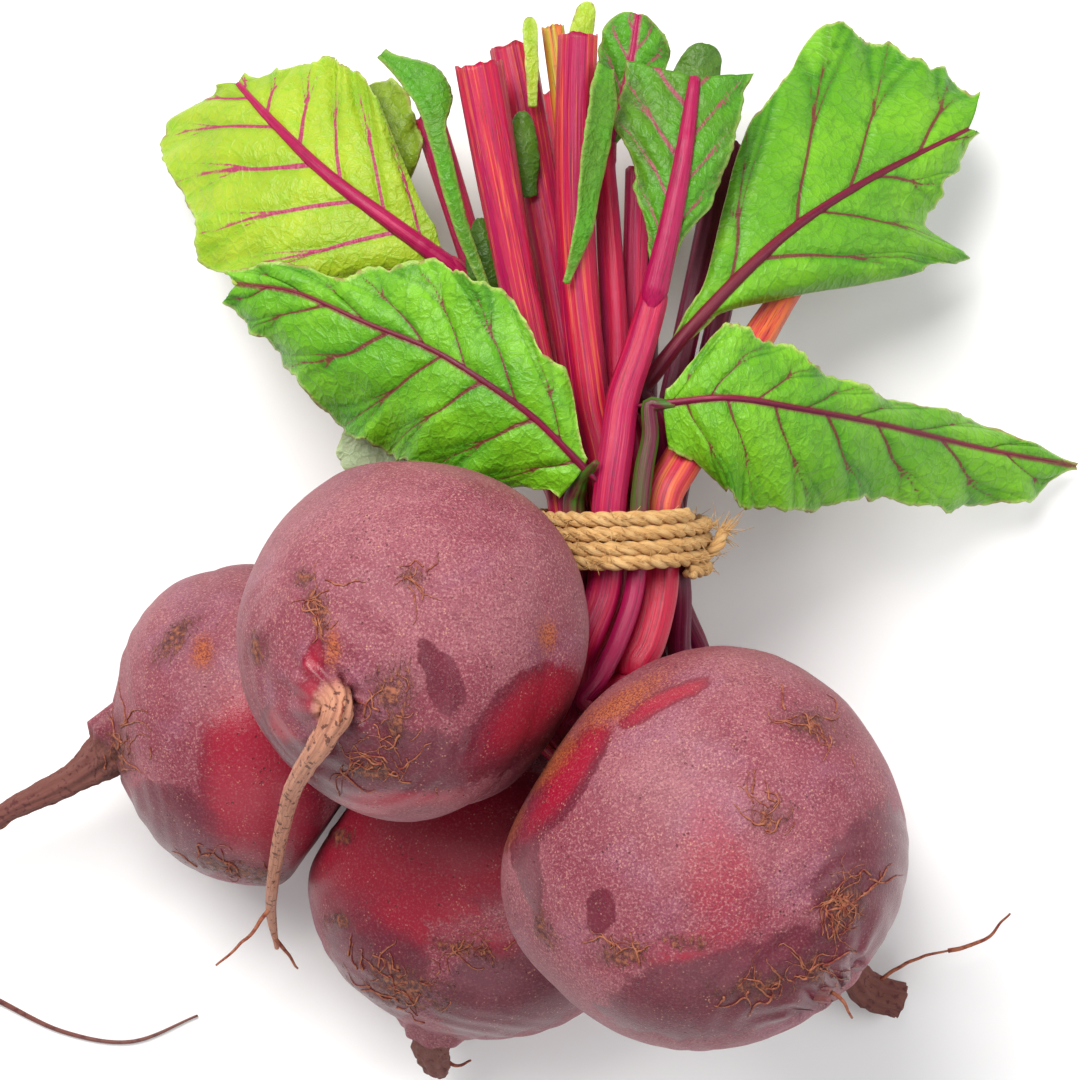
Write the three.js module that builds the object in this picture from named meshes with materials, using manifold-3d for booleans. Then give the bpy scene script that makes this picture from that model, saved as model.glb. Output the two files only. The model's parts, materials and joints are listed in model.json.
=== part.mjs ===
// A tied bunch of five beetroots with cut leaf stalks and leaves, lying on a surface.
// Millimetres, +Z up, the stalks run along +Y, and the surface is z = 0.
import * as THREE from "three";
import { mergeVertices } from "three/addons/utils/BufferGeometryUtils.js";
import Module from "manifold-3d";

const wasm = await Module();
wasm.setup();

// Driving dimensions.
const TIE = { x: 15.7, z: 50, innerX: 15.4, innerZ: 17, turns: 4, twine: 3 };
const BLADE = 0.9; // thickness of a leaf blade
const GAP = 0.35; // clearance between neighbouring pieces
const BEET_SIDES = 16;
const STALK_SIDES = 10;
const BEFORE_TIE = 5; // lengths of stalk between the crown and the tie
const STALK_LENGTH = 11; // length of stalk between rings beyond the tie

const vec = (a) => new THREE.Vector3(a[0], a[1], a[2]);
const mix = (a, b, t) => a + (b - a) * t;

// A repeatable random number from 0 to 1.
function seeded(seed) {
  let state = seed >>> 0;
  return () => {
    state = (state + 0x6d2b79f5) >>> 0;
    let t = Math.imul(state ^ (state >>> 15), 1 | state);
    t = (t + Math.imul(t ^ (t >>> 7), 61 | t)) ^ t;
    return ((t ^ (t >>> 14)) >>> 0) / 4294967296;
  };
}

// The value of an evenly spaced list at t from 0 to 1, eased between its entries.
function along(list, t) {
  const place = THREE.MathUtils.clamp(t, 0, 1) * (list.length - 1);
  const i = Math.min(Math.floor(place), list.length - 2);
  const f = place - i;
  return mix(list[i], list[i + 1], f * f * (3 - 2 * f));
}

function geometryOf(points, triangles) {
  const geometry = new THREE.BufferGeometry();
  geometry.setAttribute("position", new THREE.Float32BufferAttribute(points.flatMap((p) => p.toArray()), 3));
  geometry.setIndex(triangles);
  return geometry;
}

// A closed skin over rings of equally many points, with a point at each end.
function skin(rings, start, end) {
  const sides = rings[0].length;
  const points = [start, ...rings.flat(), end];
  const at = (ring, side) => 1 + ring * sides + (side % sides);
  const last = points.length - 1;
  const triangles = [];
  for (let side = 0; side < sides; side++) {
    triangles.push(0, at(0, side + 1), at(0, side));
    triangles.push(last, at(rings.length - 1, side), at(rings.length - 1, side + 1));
    for (let ring = 0; ring < rings.length - 1; ring++) {
      triangles.push(at(ring, side), at(ring, side + 1), at(ring + 1, side + 1));
      triangles.push(at(ring, side), at(ring + 1, side + 1), at(ring + 1, side));
    }
  }
  return geometryOf(points, triangles);
}

// Rings square to a line of points, turned as little as possible from one to the next.
function ringsAlong(line, radiusAt, sides, section = () => 1, firstSide = null) {
  const rings = [];
  let side = firstSide ? firstSide.clone() : new THREE.Vector3(0, 0, 1);
  line.forEach((p, i) => {
    const before = line[Math.max(i - 1, 0)];
    const after = line[Math.min(i + 1, line.length - 1)];
    const run = after.clone().sub(before).normalize();
    side.addScaledVector(run, -side.dot(run));
    if (side.length() < 0.05) side = new THREE.Vector3(run.y, -run.x, 0.1).cross(run);
    side.normalize();
    const up = run.clone().cross(side);
    const radius = radiusAt(i / (line.length - 1));
    const ring = [];
    for (let k = 0; k < sides; k++) {
      const angle = (k / sides) * Math.PI * 2;
      const reach = radius * section(angle);
      ring.push(
        p.clone().addScaledVector(side, Math.cos(angle) * reach).addScaledVector(up, Math.sin(angle) * reach),
      );
    }
    rings.push(ring);
  });
  return rings;
}

function solidOf(geometry) {
  const merged = mergeVertices(geometry, 1e-4);
  return new wasm.Manifold(
    new wasm.Mesh({
      numProp: 3,
      vertProperties: merged.attributes.position.array,
      triVerts: new Uint32Array(merged.index.array),
    }),
  );
}

function geometryFrom(solid) {
  const mesh = solid.getMesh();
  const geometry = new THREE.BufferGeometry();
  geometry.setAttribute("position", new THREE.BufferAttribute(new Float32Array(mesh.vertProperties), 3));
  geometry.setIndex(Array.from(mesh.triVerts));
  return geometry;
}

// The beets. crown and root are the ways the two ends point, reach how far, girth the two half widths.
// tail is the line of the taproot with its radius, and hairs are side roots that grow from it.
const BEETS = [
  {
    name: "beet_left",
    centre: [-58.8, -38.1, 28.5],
    crown: [0.93, 0.33, 0.16],
    root: [-0.99, -0.1, 0.02],
    reach: [23, 27],
    girth: [32.2, 30],
    lobe: 0.2,
    tail: [
      [-88, -43.5, 29, 4.6], [-95, -48.5, 27, 3], [-110.5, -56.5, 22, 2.1], [-123, -67.5, 14, 1.5],
      [-127.5, -80, 8, 1.1], [-123.5, -91, 3.5, 0.9], [-113.5, -97, 1.1, 0.7], [-100, -103.5, 0.75, 0.6],
      [-86, -105.5, 0.7, 0.6], [-72, -100, 0.7, 0.5],
    ],
    hairs: [[[-106, -54, 22], [-110, -58.5, 18], [-113, -60.5, 16], 0.6]],
    lies: true,
  },
  {
    name: "beet_upper",
    centre: [-25.6, -18, 81],
    crown: [0.68, 0.02, -0.73],
    root: [-0.41, -0.36, 0.84],
    reach: [32, 32],
    girth: [33.4, 32.6],
    lobe: 1.7,
    tail: [
      [-36.8, -30.5, 110.5, 3], [-39.2, -35.9, 109, 2.3], [-42.6, -40.9, 103, 1.9], [-45.8, -46.1, 94, 1.7],
      [-48.3, -52.4, 80, 1.5], [-50.6, -59.6, 66, 1.4], [-52.8, -68.1, 50, 1.2], [-53.9, -75, 38, 1.1],
      [-53.6, -83, 26, 0.9],
    ],
    hairs: [
      [[-53.5, -73, 41.5], [-58, -79, 39], [-65, -85.5, 36], 0.6],
      [[-53.7, -80.5, 30], [-51.5, -84, 27], [-49.5, -87.5, 24], 0.6],
    ],
  },
  {
    name: "beet_lower",
    centre: [-13.2, -69.9, 29.2],
    crown: [0.42, 0.87, 0.25],
    root: [-0.27, -0.95, -0.12],
    reach: [37, 30],
    girth: [34.2, 30],
    lobe: 0.9,
    tail: [[-21.6, -100, 24.5, 4.4], [-22.4, -104, 20, 3.6], [-21.5, -108, 14.5, 3], [-20.6, -110.5, 10.5, 2.2]],
    hairs: [[[-22, -105, 18], [-17, -108.5, 15], [-14.5, -108, 12], 0.6]],
    lies: true,
  },
  {
    name: "beet_right",
    centre: [31.2, -57.6, 84],
    crown: [-0.66, 0.6, -0.45],
    root: [0.58, -0.66, 0.48],
    reach: [33, 37],
    girth: [38.6, 34],
    lobe: 2.6,
    tail: [[52, -81.5, 101, 3.6], [52.4, -82.2, 101.8, 2.4]],
    hairs: [[[50, -82, 99], [55.5, -84.5, 102], [57.5, -88, 99], 0.6]],
  },
  {
    name: "beet_under",
    centre: [49.5, -62.5, 23.4],
    crown: [-0.46, 0.8, 0.39],
    root: [0.5, -0.8, -0.3],
    reach: [25, 25],
    girth: [24.5, 24.5],
    lobe: 0.4,
    tail: [[61, -83, 15.5, 3.8], [64.5, -89.5, 9.5, 3.2], [69, -94, 5.8, 3.8], [75.5, -96.5, 4.6, 3.9]],
    hairs: [
      [[68, -94, 7], [77, -87.8, 9], [86, -85, 11], 0.65],
      [[85, -85.3, 10.8], [92.5, -82.5, 12.5], [97, -77, 14.5], 0.6],
    ],
    lies: true,
  },
];

// Half a beet's outline from the crown to the taproot: place along the axis and share of the girth.
const OUTLINE = [
  [-1.0, 0.2], [-0.97, 0.36], [-0.89, 0.56], [-0.74, 0.77], [-0.5, 0.93], [-0.2, 1.0],
  [0.12, 0.995], [0.42, 0.92], [0.66, 0.78], [0.83, 0.6], [0.94, 0.4], [1.0, 0.24],
];

// The directions of a beet: its axis at a place from crown (-1) to root (1), and two across.
function beetFrame(beet, place) {
  const axis = vec(beet.crown).normalize().negate().lerp(vec(beet.root).normalize(), (place + 1) / 2).normalize();
  const flat = new THREE.Vector3(0, 0, 1).cross(axis).normalize();
  return { axis, flat, rise: axis.clone().cross(flat) };
}

function beetPoint(beet, place, angle, share) {
  const p = freePoint(beet, place, angle, share);
  for (const flat of beet.pressed ?? []) {
    const left = flat.reach - p.clone().sub(vec(beet.centre)).dot(flat.way);
    if (left < 12) p.addScaledVector(flat.way, left - (left + Math.hypot(left, 2.5)) / 2);
  }
  return p;
}

function freePoint(beet, place, angle, share) {
  const end = place < 0 ? vec(beet.crown) : vec(beet.root);
  const reach = place < 0 ? beet.reach[0] : beet.reach[1];
  const { flat, rise } = beetFrame(beet, place);
  const lumps = 1 + 0.018 * Math.cos(3 * angle + beet.lobe * 4) * share + 0.014 * Math.cos(2 * angle + beet.lobe);
  return vec(beet.centre)
    .addScaledVector(end.normalize(), Math.abs(place) * reach)
    .addScaledVector(flat, Math.cos(angle) * beet.girth[0] * share * lumps)
    .addScaledVector(rise, Math.sin(angle) * beet.girth[1] * share * lumps);
}

// How far a beet reaches one way from its centre.
function reachOf(beet, way) {
  let most = 0;
  for (const [place, share] of OUTLINE)
    for (let k = 0; k < 48; k++)
      most = Math.max(most, freePoint(beet, place, (k / 24) * Math.PI, share).sub(vec(beet.centre)).dot(way));
  return most;
}

// Neighbours that grew against each other are a little flatter there.
for (const [one, other] of BEETS.flatMap((a, i) => BEETS.slice(i + 1).map((b) => [a, b]))) {
  const way = vec(other.centre).sub(vec(one.centre));
  const distance = way.length();
  way.normalize();
  const back = way.clone().negate();
  const reaches = [reachOf(one, way), reachOf(other, back)];
  const excess = (reaches[0] + reaches[1] + GAP - distance) / 2;
  if (excess < -1.2) continue;
  const share = one.name === "beet_left" ? 0.12 : 0;
  (one.pressed ??= []).push({ way, reach: reaches[0] - excess * (1 + share) });
  (other.pressed ??= []).push({ way: back, reach: reaches[1] - excess * (1 - share) });
}

function taper(points, radii, sides, steps) {
  const curve = new THREE.CatmullRomCurve3(points, false, "centripetal");
  const line = curve.getPoints(steps);
  const rings = ringsAlong(line, (t) => along(radii, t), sides);
  return skin(rings, line[0], line[steps].clone().addScaledVector(curve.getTangent(1), radii.at(-1) * 0.7));
}

function beetSolid(beet) {
  const angles = Array.from({ length: BEET_SIDES }, (_, k) => (k / BEET_SIDES) * Math.PI * 2);
  const rings = OUTLINE.map(([place, share]) => angles.map((a) => beetPoint(beet, place, a, share)));
  const dimple = beetPoint(beet, -0.95, 0, 0);
  const tip = beetPoint(beet, 1.03, 0, 0);
  let solid = solidOf(skin(rings, dimple, tip));
  const inside = vec(beet.centre).lerp(vec(beet.tail[0]), 0.75);
  const first = vec(beet.tail[0]);
  const tailPoints = [inside, first, ...beet.tail.slice(1).map(vec)];
  const tailRadii = [beet.tail[0][3] * 1.5, ...beet.tail.map((p) => p[3])];
  solid = solid.add(solidOf(taper(tailPoints, tailRadii, 7, Math.max(6, beet.tail.length * 2))));
  for (const hair of beet.hairs)
    solid = solid.add(solidOf(taper(hair.slice(0, 3).map(vec), [hair[3] * 1.3, hair[3], hair[3] * 0.8], 5, 5)));
  if (beet.lies) {
    const below = new THREE.BoxGeometry(400, 400, 20).translate(0, 0, -10);
    solid = solid.subtract(solidOf(below.deleteAttribute("normal").deleteAttribute("uv")));
  }
  return geometryFrom(solid);
}

// The leaves. rib is the midrib's line. left and right are the lengths of the side veins, evenly spaced from
// base to tip, and sweep how far they lean forward there, in degrees. cup lifts or drops the edges, wave
// ruffles them, ridge is the height of the midrib, and face is the way the blade looks.
const LEAVES = [
  {
    name: "leaf_upper_left", rib: [[-19, 55.5, 40], [-30, 63.5, 40], [-43, 73.5, 36], [-54.5, 85, 28], [-62, 93.5, 20]],
    left: [14, 35, 36, 31, 31, 24, 6], right: [8, 30, 31, 26, 19, 10, 3], sweep: [[35, 55], [52, 32]],
    cup: [-0.3, -0.08], wave: [1, 5], ridge: 1.6, face: [0.05, 0.1, 1], tooth: 0.04, size: [16, 9],
  },
  {
    name: "leaf_brown", rib: [[-28, 68.5, 28], [-30, 76, 30], [-33, 84, 29], [-36.5, 90, 26]],
    left: [1, 4, 5, 4], right: [1, 8, 9, 7], sweep: [[25, 30], [25, 30]],
    cup: [-0.2, 0.1], wave: [1.2, 4], ridge: 0.5, face: [0, 0, 1], tooth: 0.12, size: [9, 5],
  },
  {
    name: "leaf_mid_left",
    rib: [[8.5, 14, 64], [-1, 23.5, 66], [-12, 31.5, 65], [-21, 37, 62], [-34, 42.5, 57], [-48.5, 49, 50],
      [-60, 51, 44]],
    left: [8, 18, 21, 24, 24, 18, 12, 6], right: [2, 12, 19, 20, 15, 8, 7, 4], sweep: [[-8, 42], [25, 56]],
    cup: [-0.36, -0.1], wave: [1.5, 6], ridge: 0.6, face: [-0.15, -0.05, 1], tooth: 0.07, size: [20, 9],
  },
  {
    name: "leaf_pale", rib: [[-15, 15, 44], [-22, 18, 43], [-30, 19.5, 40], [-40, 16, 34]],
    left: [1, 8, 7, 6, 4], right: [1, 5, 6, 6, 4], sweep: [[20, 30], [20, 30]],
    cup: [-0.15, 0.2], wave: [1, 4], ridge: 0.5, face: [0, 0, 1], tooth: 0.08, size: [10, 5],
  },
  {
    name: "leaf_upper_right",
    rib: [[21.5, 31.5, 51.5], [29.5, 41.5, 50.5], [48, 60, 45], [64.5, 71.5, 36], [87.5, 84, 23]],
    left: [1, 2, 5, 32, 46, 36, 24, 9], right: [1, 1.5, 3, 38, 41, 21, 12, 3], sweep: [[44, 53], [45, 56]],
    cup: [-0.1, -0.34], wave: [1.4, 5], ridge: 1.2, face: [0.12, 0.1, 1], tooth: 0.05, size: [20, 9],
  },
  {
    name: "leaf_lower_right",
    rib: [[24, 26.5, 62], [36, 27.5, 64.5], [51.5, 25.5, 58], [68, 23, 44], [92, 18.5, 21], [112, 15.5, 5]],
    left: [3, 15, 13, 9, 7, 8, 5, 1], right: [9, 18, 21, 20, 16, 16, 11, 1], sweep: [[15, 50], [0, 40]],
    cup: [-0.22, -0.25], wave: [1.4, 6], ridge: 0.6, face: [0.2, 0, 1], tooth: 0.08, size: [20, 9],
  },
  {
    name: "leaf_back", rib: [[22.5, 49, 57], [25, 59.5, 57], [28, 74.5, 55], [30.5, 91, 51]],
    left: [0.8, 4, 9, 15, 14], right: [0.8, 3, 8, 10, 11], sweep: [[28, 10], [28, 15]],
    cup: [-0.25, -0.2], wave: [0.8, 3], ridge: 1.9, face: [0, 0, 1], tooth: 0.06, size: [12, 7],
  },
  {
    name: "leaf_top", rib: [[13.5, 77, 45.5], [15.5, 85, 45.5], [18, 95, 45], [19.5, 104.5, 44]],
    left: [1, 5, 7, 6], right: [1, 6, 8, 4], sweep: [[25, 15], [25, 20]],
    cup: [-0.2, -0.2], wave: [1, 4], ridge: 0.6, face: [0, 0, 1], tooth: 0.1, size: [10, 5],
  },
  {
    name: "leaf_narrow", rib: [[5, 50, 58], [8.5, 60.5, 58.5], [11, 74.5, 58.5], [13, 84, 57.5], [13.5, 92, 56]],
    left: [0.8, 2.6, 4, 4.5, 3], right: [0.8, 2, 2.4, 2.2, 1.2], sweep: [[20, 20], [20, 20]],
    cup: [0.3, -0.3], wave: [0.4, 4], ridge: 0.5, face: [0.3, 0, 1], tooth: 0.08, size: [10, 5],
  },
  {
    name: "leaf_strip", rib: [[-9.5, 47, 49], [-15.5, 62, 50], [-20, 79, 50.5], [-23, 88, 49], [-31.5, 96.5, 44]],
    left: [0.8, 1.6, 2, 2.5, 1], right: [0.8, 1.5, 1.8, 6, 1.5], sweep: [[15, 20], [15, 10]],
    cup: [-0.2, -0.2], wave: [0.4, 4], ridge: 0.5, face: [0, 0, 1], tooth: 0.06, size: [11, 5],
  },
  {
    name: "leaf_yellow", rib: [[-1.5, 86, 45], [-1.5, 95.5, 45], [-2, 104, 44]],
    left: [0.9, 1.5, 1.8], right: [0.9, 1.2, 1.4], sweep: [[10, 10], [10, 10]],
    cup: [0, 0], wave: [0.2, 2], ridge: 0.4, face: [0, 0, 1], tooth: 0.03, size: [6, 5],
  },
  {
    name: "leaf_tip", rib: [[7.5, 94, 36.5], [8.5, 100, 37], [10, 108, 36.5]],
    left: [1, 3, 2.4], right: [1, 2, 1.6], sweep: [[10, 10], [10, 10]],
    cup: [-0.1, -0.1], wave: [0.3, 2], ridge: 0.4, face: [0, 0, 1], tooth: 0.05, size: [6, 5],
  },
  {
    name: "leaf_dark", rib: [[-9.5, 46, 43], [-11, 55, 44], [-12, 64, 43.5]],
    left: [2, 4, 2], right: [2, 4, 2], sweep: [[10, 10], [10, 10]],
    cup: [-0.3, -0.3], wave: [0.8, 3], ridge: 0.4, face: [0, 0, 1], tooth: 0.1, size: [7, 5],
  },
  {
    name: "leaf_crumpled", rib: [[30, 85, 41], [31, 91, 41.5], [33, 99, 41]],
    left: [1.5, 5, 3], right: [1.5, 5, 4], sweep: [[10, 10], [10, 10]],
    cup: [-0.2, -0.2], wave: [1, 4], ridge: 0.4, face: [0, 0, 1], tooth: 0.14, size: [8, 5],
  },
  {
    name: "leaf_shade", rib: [[-2, 68, 46], [-3, 76, 46.5], [-3.5, 85, 46]],
    left: [1.5, 3, 2], right: [1.5, 3, 2], sweep: [[10, 10], [10, 10]],
    cup: [-0.3, -0.3], wave: [0.8, 3], ridge: 0.4, face: [0, 0, 1], tooth: 0.12, size: [7, 5],
  },
];

// A point on a leaf's middle sheet: u runs from base to tip, v from -1 at the right edge to 1 at the left.
function leafPoint(leaf, curve, u, v) {
  const run = curve.getTangent(u);
  const side = vec(leaf.face).normalize().cross(run).normalize();
  const up = run.clone().cross(side).normalize();
  const which = v > 0 ? 0 : 1;
  const width = along(which ? leaf.right : leaf.left, u);
  const lean = THREE.MathUtils.degToRad(mix(leaf.sweep[which][0], leaf.sweep[which][1], u));
  const out = Math.abs(v) * width;
  const [waveHeight, waves] = leaf.wave;
  const ruffle = waveHeight * Math.abs(v) ** 3 * Math.sin(waves * Math.PI * 2 * u + which * 1.9 + v);
  const lift = leaf.cup[which] * out * Math.abs(v) + ruffle * Math.min(1, width / 8);
  const p = curve
    .getPoint(u)
    .addScaledVector(side, Math.sign(v) * out * Math.cos(lean))
    .addScaledVector(run, out * Math.sin(lean))
    .addScaledVector(up, lift);
  p.z = Math.max(p.z, BLADE / 2);
  return p;
}

const leafCurve = (leaf) => new THREE.CatmullRomCurve3(leaf.rib.map(vec), false, "centripetal");

function leafColumns(count) {
  if (count === 9) return [-1, -0.66, -0.33, -0.07, 0, 0.07, 0.33, 0.66, 1];
  if (count === 7) return [-1, -0.5, -0.12, 0, 0.12, 0.5, 1];
  return [-1, -0.3, 0, 0.3, 1];
}

function leafGrid(leaf) {
  const [rows, count] = leaf.size;
  const random = seeded(leaf.name.length * 977 + rows);
  const curve = leafCurve(leaf);
  return Array.from({ length: rows }, (_, i) => {
    const teeth = [1 + leaf.tooth * (random() * 2 - 1), 1 + leaf.tooth * (random() * 2 - 1)];
    return leafColumns(count).map((v) =>
      leafPoint(leaf, curve, i / (rows - 1), v * (Math.abs(v) === 1 ? teeth[v > 0 ? 0 : 1] : 1)),
    );
  });
}

// The blade: the sheet thickened both ways, with the midrib standing up along its middle.
function leafSolid(leaf) {
  const grid = leafGrid(leaf);
  const rows = grid.length;
  const columns = grid[0].length;
  const middle = (columns - 1) / 2;
  const faces = [[], []];
  for (let i = 0; i < rows; i++)
    for (let j = 0; j < columns; j++) {
      const alongRib = grid[Math.min(i + 1, rows - 1)][j].clone().sub(grid[Math.max(i - 1, 0)][j]);
      const across = grid[i][Math.min(j + 1, columns - 1)].clone().sub(grid[i][Math.max(j - 1, 0)]);
      const normal = across.cross(alongRib).normalize();
      const rise = j === middle ? leaf.ridge * (1 - (0.75 * i) / (rows - 1)) : 0;
      faces[0].push(grid[i][j].clone().addScaledVector(normal, -BLADE / 2));
      faces[1].push(grid[i][j].clone().addScaledVector(normal, BLADE / 2 + rise));
    }
  const triangles = [];
  const low = (i, j) => i * columns + j;
  const high = (i, j) => rows * columns + i * columns + j;
  for (let i = 0; i < rows - 1; i++)
    for (let j = 0; j < columns - 1; j++) {
      triangles.push(high(i, j), high(i, j + 1), high(i + 1, j + 1), high(i, j), high(i + 1, j + 1), high(i + 1, j));
      triangles.push(low(i, j), low(i + 1, j + 1), low(i, j + 1), low(i, j), low(i + 1, j), low(i + 1, j + 1));
    }
  const edge = [];
  for (let j = 0; j < columns - 1; j++) edge.push([0, j]);
  for (let i = 0; i < rows - 1; i++) edge.push([i, columns - 1]);
  for (let j = columns - 1; j > 0; j--) edge.push([rows - 1, j]);
  for (let i = rows - 1; i > 0; i--) edge.push([i, 0]);
  edge.forEach(([i, j], n) => {
    const [k, l] = edge[(n + 1) % edge.length];
    triangles.push(low(i, j), low(k, l), high(k, l), low(i, j), high(k, l), high(i, j));
  });
  return geometryOf([...faces[0], ...faces[1]], triangles);
}

// The stalks. slot is the place inside the tie, from its middle, end is where the stalk stops, and
// radius is the half width in the tie and at the end. leaf names the blade that goes on from the end.
const STALKS = [
  { name: "stalk_front_left", beet: "beet_upper", slot: [-9.2, 4], via: [-5.2, 50, 53.5], end: [-12, 93, 52], radius: [3.7, 4.6] },
  { name: "stalk_front_middle", beet: "beet_right", slot: [-4.5, 4.5], via: [3, 50, 53], end: [7.5, 99, 53], radius: [3.8, 4] },
  { name: "stalk_back_leaf", beet: "beet_right", slot: [-4.5, 11], leaf: "leaf_back", radius: [3.3, 2.8] },
  { name: "stalk_orange", beet: "beet_right", slot: [6.5, 8.5], via: [31, 26, 50], end: [53, 55, 33], radius: [4, 2.6] },
  { name: "stalk_lower_right_leaf", beet: "beet_right", slot: [1, 12], via: [20, 17, 62], leaf: "leaf_lower_right", radius: [1.9, 1.3], approach: 2 },
  { name: "stalk_upper_right_leaf", beet: "beet_under", slot: [7.5, 1.5], leaf: "leaf_upper_right", radius: [2.5, 1.7], approach: 3 },
  { name: "stalk_far_left", beet: "beet_left", slot: [-12, -4], end: [-22.5, 85.5, 28], radius: [2.5, 3.1] },
  { name: "stalk_brown_leaf", beet: "beet_left", slot: [-11, -9], leaf: "leaf_brown", radius: [1.8, 1.6] },
  { name: "stalk_middle_left", beet: "beet_upper", slot: [-4.5, -3], end: [-5.5, 98.5, 37], radius: [3.6, 4.4] },
  { name: "stalk_upper_left_leaf", beet: "beet_left", slot: [-7.5, -8], leaf: "leaf_upper_left", radius: [2.4, 2.2] },
  { name: "stalk_mid_left_leaf", beet: "beet_upper", slot: [-10, 8.5], leaf: "leaf_mid_left", radius: [2.1, 1.1] },
  { name: "stalk_yellow", beet: "beet_lower", slot: [-1.5, -8.5], end: [2.5, 102.5, 39], radius: [2.2, 2.2] },
  { name: "stalk_top_leaf", beet: "beet_right", slot: [1.5, 4], leaf: "leaf_top", radius: [2.7, 2.2] },
  { name: "stalk_red", beet: "beet_lower", slot: [2, -3], end: [19.5, 74, 40], radius: [2.4, 2.4] },
  { name: "stalk_dark_outer", beet: "beet_under", slot: [11.5, -3], end: [45, 81.5, 25], radius: [2.4, 2.8] },
  { name: "stalk_dark_inner", beet: "beet_under", slot: [7.5, -4], end: [38.5, 80, 28], radius: [2.5, 3] },
  { name: "stalk_low_left", beet: "beet_left", slot: [-4, -12.5], end: [1, 92, 2.72], radius: [2.6, 3.2] },
  { name: "stalk_low_right", beet: "beet_lower", slot: [4, -12.5], end: [24, 94, 2.56], radius: [2.6, 3.2] },
];

const byName = (list, name) => list.find((item) => item.name === name);

// The middle of the flat that a beet's stalks grow from.
const crownSpot = (beet) => beetPoint(beet, -1, 0, 0).addScaledVector(vec(beet.crown).normalize(), 1.9);

// The first line of a stalk: out of the crown, straight through its slot in the tie and on to its end.
function firstLine(stalk) {
  const beet = byName(BEETS, stalk.beet);
  const siblings = STALKS.filter((s) => s.beet === stalk.beet);
  const crown = vec(beet.crown).normalize();
  const slot = new THREE.Vector3(TIE.x + stalk.slot[0], 0, TIE.z + stalk.slot[1]);
  const middle = siblings.reduce((sum, s) => sum.add(new THREE.Vector3(s.slot[0], 0, s.slot[1])), new THREE.Vector3());
  const offset = new THREE.Vector3(stalk.slot[0], 0, stalk.slot[1]).addScaledVector(middle, -1 / siblings.length);
  offset.addScaledVector(crown, -offset.dot(crown)).clampLength(2, 5);
  const base = crownSpot(beet).add(offset);
  const start = slot.clone().setY(-10);
  const before = new THREE.CatmullRomCurve3(
    [base, base.clone().addScaledVector(crown, 6), start, slot.clone().setY(8)],
    false,
    "centripetal",
  );
  const leaf = stalk.leaf && byName(LEAVES, stalk.leaf);
  const end = leaf ? vec(leaf.rib[0]) : vec(stalk.end);
  const run = leaf ? leafCurve(leaf).getTangent(0) : new THREE.Vector3(0, 1, 0);
  if (leaf) end.addScaledVector(run, -GAP - 0.8);
  const onward = [start, slot.clone().setY(8)];
  if (stalk.via) onward.push(vec(stalk.via));
  if (leaf && end.y > 20) onward.push(end.clone().addScaledVector(run, -(stalk.approach ?? 5)));
  const after = new THREE.CatmullRomCurve3([...onward, end], false, "centripetal");
  const line = [];
  for (let i = 0; i < BEFORE_TIE; i++) line.push(before.getPoint((i / BEFORE_TIE) * (2 / 3)));
  const steps = Math.max(3, Math.round(after.getLength() / STALK_LENGTH));
  const first = 1 / onward.length;
  line.push(start);
  for (let i = 0; i <= steps; i++) line.push(after.getPoint(mix(first, 1, i / steps)));
  return line;
}

const stalkRadius = (stalk, t) => along([0.85 * stalk.radius[0], stalk.radius[0], stalk.radius[0], stalk.radius[1]], t);

// Pushes p out of a beet's rounded body if it is nearer than clear.
function leaveBeet(p, beet, clear) {
  const from = p.clone().sub(vec(beet.centre));
  const axis = vec(beet.root).normalize().sub(vec(beet.crown).normalize()).normalize();
  const { flat, rise } = beetFrame(beet, 0);
  const place = from.dot(axis);
  const reach = (place < 0 ? beet.reach[0] : beet.reach[1]) + clear;
  const across = Math.hypot(from.dot(flat) / (beet.girth[0] + clear), from.dot(rise) / (beet.girth[1] + clear));
  const q = Math.hypot((Math.abs(place) / reach) ** 1.25, across ** 1.25) ** 0.8;
  if (q < 1) p.copy(vec(beet.centre)).addScaledVector(from, 1 + (1 / q - 1) * 0.5);
}

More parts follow.
